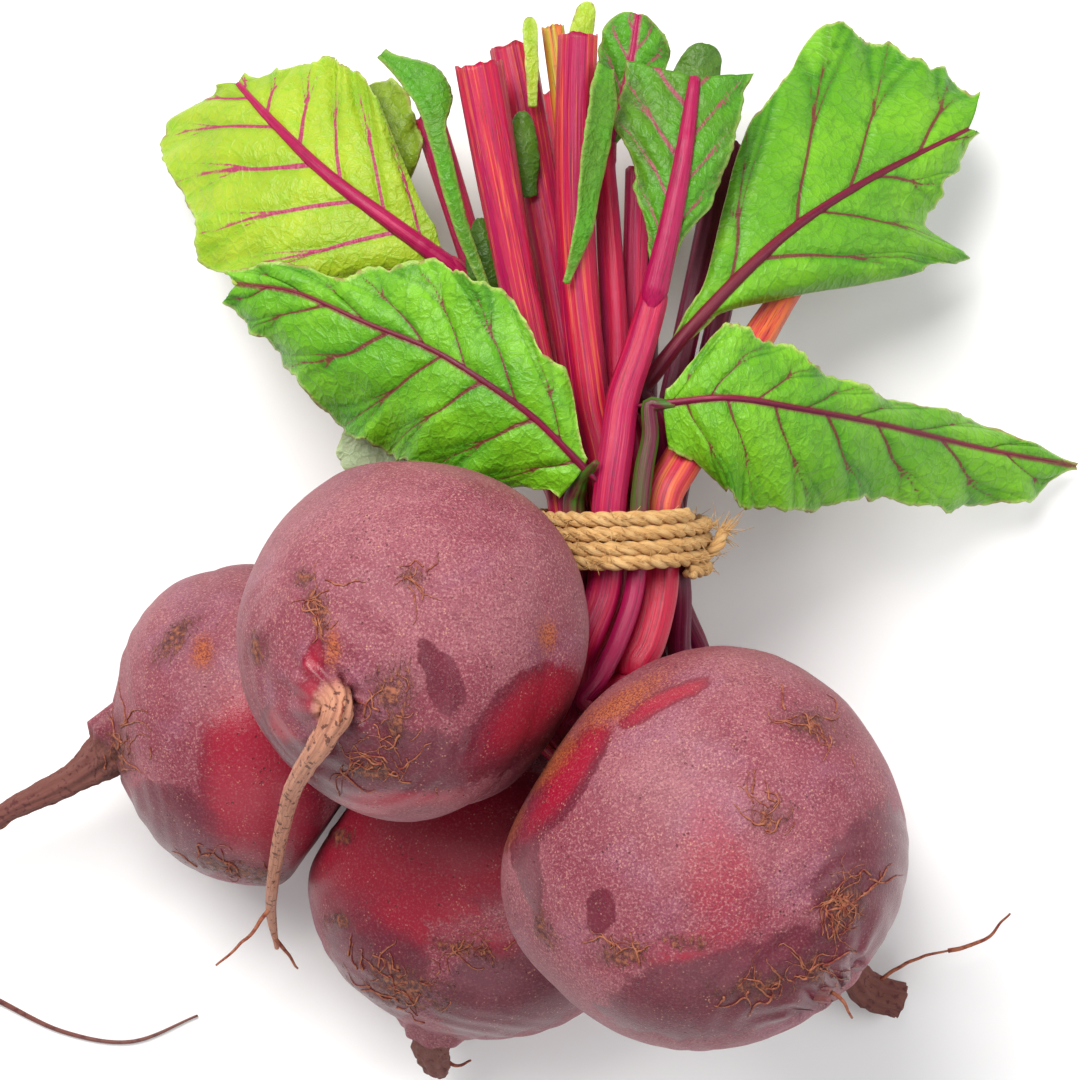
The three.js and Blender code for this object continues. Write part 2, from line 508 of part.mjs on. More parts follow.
// Lets the stalks settle: each pushes its neighbours, the beets and the blades away, the tie holds them in.
function settle(stalks) {
  const segment = new THREE.Line3();
  const near = new THREE.Vector3();
  const away = new THREE.Vector3();
  const blades = LEAVES.flatMap((leaf) => {
    const curve = leafCurve(leaf);
    const points = [];
    for (let i = 0; i <= 30; i++) for (let j = -5; j <= 5; j++) points.push(leafPoint(leaf, curve, i / 30, j / 5));
    return points.map((p) => ({ p, leaf: leaf.name }));
  });
  for (let round = 0; round < 170; round++) {
    const calm = round > 125 ? 0 : 0.12;
    for (const a of stalks)
      for (const b of stalks) {
        if (a === b) continue;
        for (let i = 0; i < a.line.length - a.held; i++)
          for (let j = 0; j < b.line.length - 1; j++) {
            if (a.line[i].distanceToSquared(b.line[j]) > 500) continue;
            segment.set(b.line[j], b.line[j + 1]);
            segment.closestPointToPoint(a.line[i], true, near);
            away.subVectors(a.line[i], near);
            const need = (a.radii[i] + b.radii[j]) * 1.07 + GAP;
            const short = need - away.length();
            if (short <= 0) continue;
            away.setLength(short * 0.3);
            a.line[i].add(away);
            if (j < b.line.length - b.held) b.line[j].addScaledVector(away, -0.7);
            if (j + 1 < b.line.length - b.held) b.line[j + 1].addScaledVector(away, -0.7);
          }
      }
    for (const s of stalks) {
      const own = byName(BEETS, s.beet);
      const crown = vec(own.crown).normalize();
      const spot = crownSpot(own);
      for (let i = 0; i < s.line.length - s.held; i++) {
        const p = s.line[i];
        for (const beet of BEETS) if (beet !== own || i > 0) leaveBeet(p, beet, s.radii[i] * 1.08 + GAP);
        for (const blade of blades) {
          if (blade.leaf === s.leaf && i > s.line.length - 4) continue;
          const clear = s.radii[i] + BLADE / 2 + GAP + 0.5;
          if (p.distanceToSquared(blade.p) > clear * clear) continue;
          away.subVectors(p, blade.p);
          p.add(away.setLength((clear - away.length()) * 0.5));
        }
        if (i > 0 && i < BEFORE_TIE - 1 && calm) p.lerp(s.line[i - 1].clone().add(s.line[i + 1]).multiplyScalar(0.5), 0.2);
        if (i > BEFORE_TIE + 1 && calm) p.lerp(s.line[i - 1].clone().add(s.line[i + 1]).multiplyScalar(0.5), calm);
        p.z = Math.max(p.z, s.radii[i] * 1.05);
      }
      for (const i of [BEFORE_TIE, BEFORE_TIE + 1]) {
        const p = s.line[i];
        const room = i === BEFORE_TIE ? 1.3 : 1.12;
        const wide = (p.x - TIE.x) / (TIE.innerX - s.radii[i] * room - GAP);
        const high = (p.z - TIE.z) / (TIE.innerZ - s.radii[i] * 1.07 - GAP);
        const q = Math.max(1, Math.hypot(wide, high));
        p.set(TIE.x + (p.x - TIE.x) / q, i === BEFORE_TIE ? -10 : 8, TIE.z + (p.z - TIE.z) / q);
      }
      const base = s.line[0].clone().sub(spot);
      base.addScaledVector(crown, -base.dot(crown)).clampLength(0, 6.6);
      s.line[0].copy(spot).add(base);
      const straight = s.line[0].clone().addScaledVector(crown, s.line[0].distanceTo(s.line[1]));
      s.line[1].lerp(straight, 0.35);
    }
  }
}

function settledStalks() {
  const stalks = STALKS.map((stalk) => {
    const line = firstLine(stalk);
    return { ...stalk, line, held: stalk.leaf ? 2 : 1, radii: line.map((_, i) => stalkRadius(stalk, i / (line.length - 1))) };
  });
  settle(stalks);
  return stalks;
}

// A stalk's section: flatter than it is wide, with ribs along it.
const stalkSection = (angle) => (1 - 0.09 * Math.cos(2 * angle)) * (0.96 + 0.04 * Math.cos(5 * angle));

function stalkSolid(stalk) {
  const rings = ringsAlong(stalk.line, (t) => stalkRadius(stalk, t), STALK_SIDES, stalkSection);
  const first = stalk.line[0];
  const last = stalk.line.at(-1);
  const inward = first.clone().sub(stalk.line[1]).setLength(0.25);
  const outward = last.clone().sub(stalk.line.at(-2)).setLength(0.25);
  return skin(rings, first.clone().add(inward), last.clone().add(outward));
}

// The tie: turns of twine side by side round the stalks, fused into one band.
function tieSolid() {
  const steps = 44;
  const r = TIE.twine / 2;
  const width = TIE.turns * TIE.twine;
  const section = [[0, -width / 2 + 0.5]];
  for (let turn = 0; turn < TIE.turns; turn++) {
    const y = -width / 2 + r + turn * TIE.twine;
    for (const angle of [-60, -20, 20, 60]) {
      const a = THREE.MathUtils.degToRad(angle);
      section.push([r + Math.cos(a) * r, y + Math.sin(a) * r]);
    }
  }
  section.push([0, width / 2 - 0.5]);
  const count = section.length;
  const points = [];
  for (let i = 0; i < steps; i++) {
    const a = (i / steps) * Math.PI * 2;
    for (const [out, y] of section)
      points.push(
        new THREE.Vector3(TIE.x + Math.cos(a) * (TIE.innerX + out), y, TIE.z + Math.sin(a) * (TIE.innerZ + out)),
      );
  }
  const at = (i, k) => (i % steps) * count + (k % count);
  const triangles = [];
  for (let i = 0; i < steps; i++)
    for (let k = 0; k < count; k++) {
      triangles.push(at(i, k), at(i + 1, k + 1), at(i + 1, k), at(i, k), at(i, k + 1), at(i + 1, k + 1));
    }
  return geometryOf(points, triangles);
}

const MATERIALS = {
  beet: new THREE.MeshStandardMaterial({ color: 0x7a3247, roughness: 0.6, metalness: 0 }),
  stalk: new THREE.MeshStandardMaterial({ color: 0xa3123f, roughness: 0.4, metalness: 0 }),
  leaf: new THREE.MeshStandardMaterial({ color: 0x4a9a1c, roughness: 0.45, metalness: 0 }),
  twine: new THREE.MeshStandardMaterial({ color: 0xb98a4e, roughness: 0.95, metalness: 0 }),
};

const bunch = new THREE.Group();

function place(name, geometry, material) {
  const mesh = new THREE.Mesh(geometry, material);
  mesh.name = name;
  bunch.add(mesh);
}

for (const beet of BEETS) place(beet.name, beetSolid(beet), MATERIALS.beet);
for (const stalk of settledStalks()) place(stalk.name, stalkSolid(stalk), MATERIALS.stalk);
for (const leaf of LEAVES) place(leaf.name, leafSolid(leaf), MATERIALS.leaf);
place("twine_tie", tieSolid(), MATERIALS.twine);

// The origin is on the surface, under the middle of the whole bunch.
const whole = new THREE.Box3().setFromObject(bunch);
const middle = whole.getCenter(new THREE.Vector3());
for (const mesh of bunch.children) mesh.geometry.translate(-middle.x, -middle.y, 0);

export default bunch;
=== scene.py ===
"""Dresses a tied bunch of beetroots: waxy skins, taproots, ribbed stalks, veined leaves and a jute tie."""

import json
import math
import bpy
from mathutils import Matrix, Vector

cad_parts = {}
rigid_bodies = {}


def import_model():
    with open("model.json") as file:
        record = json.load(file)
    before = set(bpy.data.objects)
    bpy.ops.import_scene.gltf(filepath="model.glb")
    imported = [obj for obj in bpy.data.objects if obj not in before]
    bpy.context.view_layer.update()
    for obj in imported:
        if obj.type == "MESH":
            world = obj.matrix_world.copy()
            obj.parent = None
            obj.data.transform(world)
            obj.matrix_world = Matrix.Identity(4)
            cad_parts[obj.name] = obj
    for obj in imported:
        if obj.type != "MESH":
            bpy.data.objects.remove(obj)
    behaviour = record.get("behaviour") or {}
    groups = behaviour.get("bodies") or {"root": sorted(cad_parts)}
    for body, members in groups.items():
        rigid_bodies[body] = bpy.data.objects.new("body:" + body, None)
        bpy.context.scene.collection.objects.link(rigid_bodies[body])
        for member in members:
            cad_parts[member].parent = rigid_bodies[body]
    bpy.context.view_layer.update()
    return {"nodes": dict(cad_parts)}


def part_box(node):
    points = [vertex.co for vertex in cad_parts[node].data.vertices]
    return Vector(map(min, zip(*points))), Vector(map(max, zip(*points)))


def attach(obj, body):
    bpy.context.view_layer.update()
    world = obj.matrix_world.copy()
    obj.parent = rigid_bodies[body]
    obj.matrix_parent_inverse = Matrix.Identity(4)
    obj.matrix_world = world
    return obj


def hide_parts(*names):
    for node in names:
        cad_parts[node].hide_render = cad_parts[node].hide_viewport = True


bl_info = {
    "name": "Beetroot Bunch",
    "version": (1, 0, 0),
    "blender": (4, 5, 0),
    "location": "View3D > Sidebar > Beetroot",
    "description": "Builds the beets, stalks, leaves and twine of a tied beetroot bunch",
    "category": "Object",
}

import bpy
import numpy as np
from bpy.props import FloatProperty, FloatVectorProperty, IntProperty, PointerProperty
from mathutils import Vector
from mathutils.bvhtree import BVHTree

for leftover in list(bpy.data.objects):
    bpy.data.objects.remove(leftover)
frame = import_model()

MM = 0.001
TIE_CENTRE = np.array([15.7, 0.0, 50.0])  # the middle of the tie in the numbers below, in mm
TIE_INNER = (15.4, 17.0)  # half widths of the hole in the tie, across and up
TWINE = 3.0
TIE_TURNS = 4
TIE_BOW = 1.2  # how far the front of the tie sits towards the beets
GAP = 0.35  # left between beets that touch, in mm
VIEW_HEIGHT = 800.0  # of the camera over the floor, in mm
VIEW_LENS = 126.67  # focal length in mm
SENSOR = 36

low_tie, high_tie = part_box("twine_tie")
SHIFT = np.array([(low_tie[k] + high_tie[k]) / 2 / MM for k in range(3)]) - TIE_CENTRE


# Numbers and curves


def unit(a):
    a = np.asarray(a, float)
    return a / np.maximum(np.linalg.norm(a, axis=-1, keepdims=True), 1e-12)


def eased(x):
    x = np.clip(x, 0, 1)
    return x * x * (3 - 2 * x)


def step(low, high, x):
    return eased((np.asarray(x, float) - low) / (high - low))


def along(values, t):
    """The value of an evenly spaced list at t from 0 to 1, eased between its entries."""
    values = np.asarray(values, float)
    place = np.clip(t, 0, 1) * (len(values) - 1)
    i = np.minimum(place.astype(int), len(values) - 2)
    f = eased(place - i)
    return values[i] * (1 - f) + values[i + 1] * f


def smooth_line(points, t):
    """A smooth line through points, at t from 0 to 1: as many steps between points as there are points."""
    points = np.asarray(points, float)
    ends = [2 * points[0] - points[1], *points, 2 * points[-1] - points[-2]]
    padded = np.array(ends)
    place = np.clip(np.atleast_1d(t), 0, 1) * (len(points) - 1)
    i = np.minimum(place.astype(int), len(points) - 2)
    w = (place - i)[:, None]
    p0, p1, p2, p3 = (padded[i + k] for k in range(4))
    gaps = [
        np.sqrt(np.maximum(np.linalg.norm(b - a, axis=1), 1e-8))[:, None]
        for a, b in ((p0, p1), (p1, p2), (p2, p3))
    ]
    g0, g1, g2 = gaps
    m1 = ((p1 - p0) / g0 - (p2 - p0) / (g0 + g1) + (p2 - p1) / g1) * g1
    m2 = ((p2 - p1) / g1 - (p3 - p1) / (g1 + g2) + (p3 - p2) / g2) * g1
    a = -3 * p1 + 3 * p2 - 2 * m1 - m2
    b = 2 * p1 - 2 * p2 + m1 + m2
    return p1 + m1 * w + a * w**2 + b * w**3


def line_length(points):
    return np.concatenate([[0], np.cumsum(np.linalg.norm(np.diff(points, axis=0), axis=1))])


def evenly(points, count):
    """The same line with count points at equal distances."""
    run = line_length(points)
    wanted = np.linspace(0, run[-1], count)
    return np.stack([np.interp(wanted, run, points[:, k]) for k in range(points.shape[1])], axis=1)


def runs_of(line):
    return unit(np.gradient(line, axis=0))


def frames_along(line, first=(0, 0, 1)):
    """Two directions across the line at each point, turned as little as possible."""
    run = runs_of(line)
    side = np.array(first, float)
    sides = []
    for r in run:
        side = side - r * side.dot(r)
        if np.linalg.norm(side) < 0.05:
            side = np.cross([r[1], -r[0], 0.1], r)
        side = side / np.linalg.norm(side)
        sides.append(side)
    sides = np.array(sides)
    return run, sides, np.cross(run, sides)


def circle(sides):
    return np.arange(sides) / sides * 2 * math.pi


def outwards(side, up, angle):
    """The direction away from a line at each of its points and at each angle round it."""
    return side[:, None] * np.cos(angle)[None, :, None] + up[:, None] * np.sin(angle)[None, :, None]


def wrapped(angle, radius, third):
    """Points round a straight tube, for grain that runs along it."""
    around = np.broadcast_arrays(np.cos(angle) * radius, np.sin(angle) * radius, third)
    return np.stack(around, axis=-1)


GRAIN = np.random.RandomState(20)
LATTICE = GRAIN.permutation(256)
SLOPES = unit(GRAIN.normal(size=(256, 3)))


def noise(points, size, seed=0):
    """Smooth random heights from about -0.7 to 0.7, with bumps about size across."""
    q = np.asarray(points, float) / size + seed * 7.31 + 100.0
    cell = np.floor(q).astype(int)
    f = q - cell
    fade = f * f * f * (f * (f * 6 - 15) + 10)
    total = 0
    for corner in range(8):
        c = np.array([corner & 1, (corner >> 1) & 1, corner >> 2])
        k = cell + c
        pick = LATTICE[(LATTICE[(LATTICE[k[..., 0] & 255] + k[..., 1]) & 255] + k[..., 2]) & 255]
        height = np.sum(SLOPES[pick] * (f - c), axis=-1)
        weight = np.prod(np.where(c == 1, fade, 1 - fade), axis=-1)
        total = total + height * weight
    return total * 1.4


def rough(points, size, seed=0):
    return sum(noise(points, size / 2**k, seed + k) / 2**k for k in range(3))


# Meshes


def add_piece(name, points, faces, stands_for, material, fields):
    """Makes a mesh from points in mm, with its fields kept as attributes, and fixes it to the bunch."""
    mesh = bpy.data.meshes.new(name)
    mesh.from_pydata(((np.asarray(points) + SHIFT) * MM).tolist(), [], [list(f) for f in faces])
    mesh.validate()
    for field, values in fields.items():
        values = np.asarray(values, np.float32)
        flat = values.ndim == 1
        attribute = mesh.attributes.new(field, "FLOAT" if flat else "FLOAT_VECTOR", "POINT")
        attribute.data.foreach_set("value" if flat else "vector", values.ravel())
    mesh.polygons.foreach_set("use_smooth", [True] * len(mesh.polygons))
    mesh.materials.append(material)
    obj = bpy.data.objects.new(name, mesh)
    bpy.context.scene.collection.objects.link(obj)
    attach(obj, "root")
    if stands_for:
        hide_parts(*stands_for)
    return obj


def sweep_faces(rings, sides, offset=0, closed=False):
    """Quads between rings of points, as rows of point numbers."""
    i = np.arange(rings if closed else rings - 1)[:, None]
    k = np.arange(sides)[None, :]
    a = i * sides + k
    b = i * sides + (k + 1) % sides
    nxt = (i + 1) % rings
    c = nxt * sides + (k + 1) % sides
    d = nxt * sides + k
    return (np.stack([a, b, c, d], axis=-1).reshape(-1, 4) + offset).tolist()


def end_faces(first, sides, tip, flip):
    k = np.arange(sides)
    a, b = first + k, first + (k + 1) % sides
    pairs = (b, a) if flip else (a, b)
    return np.stack([pairs[0], pairs[1], np.full(sides, tip)], axis=1).tolist()


class Bundle:
    """Collects several closed tubes into the points, faces and fields of one mesh."""

    def __init__(self):
        self.points, self.faces, self.fields, self.count = [], [], {}, 0

    def add(self, rings, fields=None, start=None):
        """rings is an array of (rings, sides, 3); fields hold one number or vector per ring point."""
        n, sides, _ = rings.shape
        start = rings[0].mean(0) if start is None else start
        offset = self.count
        self.points.append(np.concatenate([rings.reshape(-1, 3), [start], [rings[-1].mean(0)]]))
        self.faces += sweep_faces(n, sides, offset)
        self.faces += end_faces(offset, sides, offset + n * sides, True)
        self.faces += end_faces(offset + (n - 1) * sides, sides, offset + n * sides + 1, False)
        for name, values in (fields or {}).items():
            values = np.asarray(values, float)
            flat = values.reshape(n * sides, -1)
            ends = [values[0].reshape(sides, -1).mean(0), values[-1].reshape(sides, -1).mean(0)]
            self.fields.setdefault(name, []).append(np.concatenate([flat, ends]))
        self.count += n * sides + 2

    def mesh_parts(self):
        fields = {}
        for name, parts in self.fields.items():
            joined = np.concatenate(parts)
            fields[name] = joined[:, 0] if joined.shape[1] == 1 else joined
        return np.concatenate(self.points), self.faces, fields


def tube(line, radii, sides, first=(0, 0, 1)):
    """Round rings along a line."""
    _, side, up = frames_along(line, first)
    radii = np.broadcast_to(np.asarray(radii, float), (len(line),))
    return line[:, None] + outwards(side, up, circle(sides)) * radii[:, None, None]


# Materials


class Value:
    """A number that a material's nodes work out, for sums in plain writing."""

    def __init__(self, finish, socket):
        self.finish, self.socket = finish, socket

    def __add__(self, other):
        return self.finish.math("ADD", self, other)

    def __radd__(self, other):
        return self.finish.math("ADD", other, self)

    def __sub__(self, other):
        return self.finish.math("SUBTRACT", self, other)

    def __rsub__(self, other):
        return self.finish.math("SUBTRACT", other, self)

    def __mul__(self, other):
        return self.finish.math("MULTIPLY", self, other)


class Finish:
    """Builds one procedural material, a node at a time."""

    def __init__(self, name):
        self.material = bpy.data.materials.new(name)
        self.material.use_nodes = True
        self.tree = self.material.node_tree
        self.tree.nodes.clear()
        self.shader = self.tree.nodes.new("ShaderNodeBsdfPrincipled")
        out = self.tree.nodes.new("ShaderNodeOutputMaterial")
        self.tree.links.new(self.shader.outputs[0], out.inputs[0])

    def node(self, kind, values=(), **settings):
        made = self.tree.nodes.new("ShaderNode" + kind)
        for key, value in settings.items():
            setattr(made, key, value)
        for key, value in dict(values).items():
            self.put(made.inputs[key], value)
        return made

    def put(self, socket, value):
        if isinstance(value, Value):
            value = value.socket
        if isinstance(value, bpy.types.NodeSocket):
            self.tree.links.new(value, socket)
        elif socket.type == "RGBA":
            socket.default_value = (*value[:3], 1)
        else:
            socket.default_value = value

    def set(self, **values):
        for key, value in values.items():
            self.put(self.shader.inputs[key.replace("_", " ")], value)

    def field(self, name):
        return Value(self, self.node("Attribute", attribute_name=name).outputs["Fac"])

    def place(self, name):
        return self.node("Attribute", attribute_name=name).outputs["Vector"]

    def math(self, operation, a, b):
        return Value(self, self.node("Math", {0: a, 1: b}, operation=operation).outputs[0])

    def stretched(self, vector, scale):
        return self.node("VectorMath", {0: vector, 1: scale}, operation="MULTIPLY").outputs[0]

    def noise(self, vector, scale, detail=4.0, roughness=0.55, distortion=0.0):
        values = {"Vector": vector, "Scale": scale, "Detail": detail}
        values.update({"Roughness": roughness, "Distortion": distortion})
        return Value(self, self.node("TexNoise", values).outputs["Fac"])

    def cells(self, vector, scale, feature="F1"):
        return self.node(
            "TexVoronoi", {"Vector": vector, "Scale": scale}, feature=feature,
        ).outputs["Distance"]

    def step(self, value, low, high):
        """0 at low and 1 at high, which may be the smaller number, eased between them."""
        values = {"Value": value, "From Min": low, "From Max": high}
        return Value(self, self.node("MapRange", values, interpolation_type="SMOOTHSTEP").outputs[0])

    def mix(self, share, a, b, most=1):
        """b laid over a by a share from 0 to 1, of which the part most counts."""
        made = self.node("Mix", data_type="RGBA", clamp_factor=True)
        self.put(made.inputs[0], share if most == 1 else share * most)
        self.put(made.inputs[6], a)
        self.put(made.inputs[7], b)
        return made.outputs[2]

    def bump(self, height, distance, strength):
        return self.node("Bump", {"Height": height, "Distance": distance, "Strength": strength}).outputs[0]


def tint(name, description, default):
    """A colour that the panel shows."""
    return FloatVectorProperty(name=name, description=description, subtype="COLOR", default=default)


# Beets

BEETS = [
    dict(
        name="beet_left", centre=(-58.8, -38.1, 28.5), crown=(0.93, 0.33, 0.16), root=(-0.99, -0.1, 0.02),
        reach=(23, 27), girth=(32.2, 30), lobe=0.2,
        tail=[
            (-88, -43.5, 29, 4.6), (-95, -48.5, 27, 3), (-110.5, -56.5, 22, 2.1), (-123, -67.5, 14, 1.5),
            (-127.5, -80, 8, 1.1), (-123.5, -91, 3.5, 0.8), (-113.5, -97, 1.1, 0.55),
            (-100, -103.5, 0.75, 0.45), (-86, -105.5, 0.7, 0.4), (-72, -100, 0.7, 0.25),
        ],
    ),
    dict(
        name="beet_upper", centre=(-25.6, -18, 81), crown=(0.68, 0.02, -0.73), root=(-0.41, -0.36, 0.84),
        reach=(32, 32), girth=(33.4, 32.6), lobe=1.7,
        tail=[
            (-36.8, -30.5, 110.5, 3), (-39.2, -35.9, 109, 2.3), (-42.6, -40.9, 103, 1.9),
            (-45.8, -46.1, 94, 1.7), (-48.3, -52.4, 80, 1.5), (-50.6, -59.6, 66, 1.4),
            (-52.8, -68.1, 50, 1.2), (-53.9, -75, 38, 1.05), (-53.6, -83, 26, 0.5),
        ],
    ),
    dict(
        name="beet_lower", centre=(-13.2, -69.9, 29.2), crown=(0.42, 0.87, 0.25), root=(-0.27, -0.95, -0.12),
        reach=(37, 30), girth=(34.2, 30), lobe=0.9,
        tail=[
            (-21.6, -100, 24.5, 4.4), (-22.4, -104, 20, 3.6), (-21.5, -108, 14.5, 3),
            (-20.6, -110.5, 10.5, 1.6),
        ],
    ),
    dict(
        name="beet_right", centre=(31.2, -57.6, 84), crown=(-0.66, 0.6, -0.45), root=(0.58, -0.66, 0.48),
        reach=(33, 37), girth=(38.6, 34), lobe=2.6,
        tail=[(52, -81.5, 101, 3.6), (52.4, -82.2, 101.8, 2.4)],
    ),
    dict(
        name="beet_under", centre=(49.5, -62.5, 23.4), crown=(-0.46, 0.8, 0.39), root=(0.5, -0.8, -0.3),
        reach=(25, 25), girth=(24.5, 24.5), lobe=0.4,
        tail=[(61, -83, 15.5, 3.8), (64.5, -89.5, 9.5, 3.2), (69, -94, 5.8, 3.8), (75.5, -96.5, 4.6, 3.6)],
    ),
]

# Half a beet's outline from crown to taproot: place along the axis and share of the girth.
OUTLINE = [
    (-1.0, 0.2), (-0.97, 0.36), (-0.89, 0.56), (-0.74, 0.77), (-0.5, 0.93), (-0.2, 1.0),
    (0.12, 0.995), (0.42, 0.92), (0.66, 0.78), (0.83, 0.6), (0.94, 0.4), (1.0, 0.24),
]


def beet_frame(beet, place):
    t = (np.asarray(place, float)[..., None] + 1) / 2
    axis = unit(-unit(beet["crown"]) * (1 - t) + unit(beet["root"]) * t)
    flat = unit(np.cross([0, 0, 1], axis))
    return axis, flat, np.cross(axis, flat)


def free_point(beet, place, angle, share):
    """A point on the beet's rounded body, before its neighbours press it."""
    place, angle, share = (np.asarray(x, float) for x in (place, angle, share))
    back = (place < 0)[..., None]
    end = np.where(back, unit(beet["crown"]), unit(beet["root"]))
    reach = np.where(place < 0, beet["reach"][0], beet["reach"][1])
    _, flat, rise = beet_frame(beet, place)
    lobe = beet["lobe"]
    lumps = 1 + 0.018 * np.cos(3 * angle + lobe * 4) * share + 0.014 * np.cos(2 * angle + lobe)
    out = (share * lumps)[..., None]
    return (
        np.array(beet["centre"], float)
        + end * (np.abs(place) * reach)[..., None]
        + flat * np.cos(angle)[..., None] * beet["girth"][0] * out
        + rise * np.sin(angle)[..., None] * beet["girth"][1] * out
    )


def press_neighbours():
    """Neighbours that grew against each other are a little flatter there."""
    places, shares = np.array(OUTLINE).T
    angles = circle(48)
    clouds = {}
    for beet in BEETS:
        beet["pressed"] = []
        cloud = free_point(
            beet, places[:, None] + 0 * angles, angles + 0 * places[:, None], shares[:, None] + 0 * angles,
        )
        clouds[beet["name"]] = cloud.reshape(-1, 3) - beet["centre"]
    for n, one in enumerate(BEETS):
        for other in BEETS[n + 1:]:
            way = np.array(other["centre"], float) - one["centre"]
            distance = np.linalg.norm(way)
            way = way / distance
            reach = (clouds[one["name"]] @ way).max(), (clouds[other["name"]] @ -way).max()
            excess = (reach[0] + reach[1] + GAP - distance) / 2
            if excess < -1.2:
                continue
            share = 0.12 if one["name"] == "beet_left" else 0
            one["pressed"].append((way, reach[0] - excess * (1 + share)))
            other["pressed"].append((-way, reach[1] - excess * (1 - share)))


def beet_point(beet, place, angle, share):
    p = free_point(beet, place, angle, share)
    for way, reach in beet["pressed"]:
        left = reach - (p - beet["centre"]) @ way
        pushed = left - (left + np.hypot(left, 2.5)) / 2
        p = p + way * np.where(left < 12, pushed, 0)[..., None]
    return p


press_neighbours()

BEET_SIDES = 144
BODY_RINGS = 128
TAIL_STEP = 0.8  # distance between rings of the taproot, in mm


def beet_rings(beet):
    """Rings of the body and then of the taproot, with how far along and how far round each point is."""
    t = np.linspace(0, 1, BODY_RINGS)
    outline = smooth_line(
        np.array([(*p, 0) for p in OUTLINE]), 0.5 - 0.5 * np.cos(math.pi * (0.02 + 0.98 * t)),
    )
    outline = evenly(outline[:, :2], BODY_RINGS)
    angle = circle(BEET_SIDES)
    place = outline[:, 0][:, None] + 0 * angle
    share = outline[:, 1][:, None] + 0 * angle
    body = beet_point(beet, place, angle + 0 * place, share)
    tail = np.array(beet["tail"], float)
    start = beet_point(beet, np.array(1.0), np.array(0.0), np.array(0.0))
    points = np.concatenate([[start], tail[:, :3]])
    radii = np.concatenate([[min(0.24 * sum(beet["girth"]) / 2, tail[0, 3] * 1.7)], tail[:, 3]])
    fine = smooth_line(points, np.linspace(0, 1, 600))
    widths = along(radii, np.linspace(0, 1, 600))
    both = evenly(
        np.concatenate([fine, widths[:, None]], axis=1), max(8, int(line_length(fine)[-1] / TAIL_STEP)),
    )
    line, widths = both[1:, :3], both[1:, 3]
    _, flat, _ = beet_frame(beet, np.array(1.0))
    run = runs_of(line)
    sides = []
    side = flat
    for r in run:
        side = unit(side - r * np.dot(side, r))
        sides.append(side)
    sides = np.array(sides)
    ups = np.cross(run, sides)
    rooted = line[:, None] + outwards(sides, ups, angle) * widths[:, None, None]
    rings = np.concatenate([body, rooted])
    depth = np.concatenate([outline[:, 0], 1 + line_length(line) / 30 + 0.02])[:, None] + 0 * angle
    return rings, depth, angle + 0 * depth


def ring_normals(rings):
    along_body = np.gradient(rings, axis=0)
    round_body = np.roll(rings, -1, axis=1) - np.roll(rings, 1, axis=1)
    return unit(np.cross(round_body, along_body))


def spots_field(points, spots):
    """How far inside the nearest oval spot a point is: 1 in the middle, 0 at the edge, below 0 outside."""
    best = np.full(points.shape[:-1], -3.0)
    for x, y, across, up, lean in spots:
        dx, dy = points[..., 0] - x, points[..., 1] - y
        c, s = math.cos(math.radians(lean)), math.sin(math.radians(lean))
        best = np.maximum(best, 1 - np.hypot((dx * c + dy * s) / across, (dy * c - dx * s) / up))
    return best


# Moist wine-coloured patches on the side that faces up, as x, y, half length, half width and lean.
MOIST = {
    "beet_upper": [
        (-3.5, -33, 16, 7, 43), (-19, -25, 8, 3, -68), (-42, -25, 7, 2.6, 80), (-30, -42, 19, 9, 0),
        (-48, -36, 6, 4, -50),
    ],
    "beet_left": [(-55, -50, 11, 18, 15), (-72, -58, 12, 8, -30)],
    "beet_lower": [(-24, -58, 26, 16, 12), (-4, -88, 16, 10, 20), (-32, -82, 10, 14, 0)],
    "beet_right": [
        (61, -63, 12, 14.5, -20), (36, -81, 25, 9.5, 12), (4, -45, 15, 4.2, 54), (-2.5, -59, 3.6, 10, 12),
        (11, -67, 2.6, 4.6, -8), (23, -29.5, 10, 2, 25),
    ],
    "beet_under": [(60, -84, 16, 12, 0)],
}

# Brighter crimson patches, in the same way.
CRIMSON = {
    "beet_upper": [
        (-1.5, -31, 14, 5, 43), (-42, -25, 6.5, 2.4, 80), (-26, -48.5, 14, 2.4, 5), (-47, -33, 4, 3, -50),
    ],
    "beet_left": [(-55, -46, 9.5, 16, 12)],
    "beet_lower": [(-20, -58, 26, 13, 10), (-20, -74, 14, 5, -12)],
    "beet_right": [
        (5, -43, 14, 2.6, 54), (23, -29.5, 9, 1.6, 25), (28, -72, 16, 2.6, 20), (32, -58, 6, 13, 12),
    ],
    "beet_under": [],
}

# Brown corky marks, in the same way.
CORK = {
    "beet_upper": [
        (-40.2, -13, 2.4, 7, 12), (-23.3, -6.7, 3, 2.2, 0), (-27, -28, 5.5, 6.5, 0),
        (-30.6, -42.2, 7, 2.6, -8), (-26.4, -34, 3, 5, 0), (-43, -7, 3, 2.4, 30), (-52.3, -20, 3, 4, 0),
    ],
    "beet_left": [(-86, -43, 5, 8, -10), (-72, -20, 3, 7, -40), (-60, -66, 14, 3, -10)],
    "beet_lower": [
        (-27, -88, 12, 6, -20), (-40, -59, 3.5, 2.6, 0), (-40, -75.5, 3, 2.6, 0), (-14, -80, 9, 2, -15),
    ],
    "beet_right": [
        (49.6, -33.5, 8, 3, -20), (42, -49, 4, 3.4, -30), (54.7, -67, 5, 9, -20), (49.6, -78.5, 3.4, 4, 0),
        (39.4, -81.3, 9, 3.6, 0), (15.4, -74.7, 6, 3, -10), (26.6, -72, 6, 1.8, 0), (1.1, -70, 2.2, 5, 25),
    ],
    "beet_under": [(62, -86, 6, 6, 0)],
}

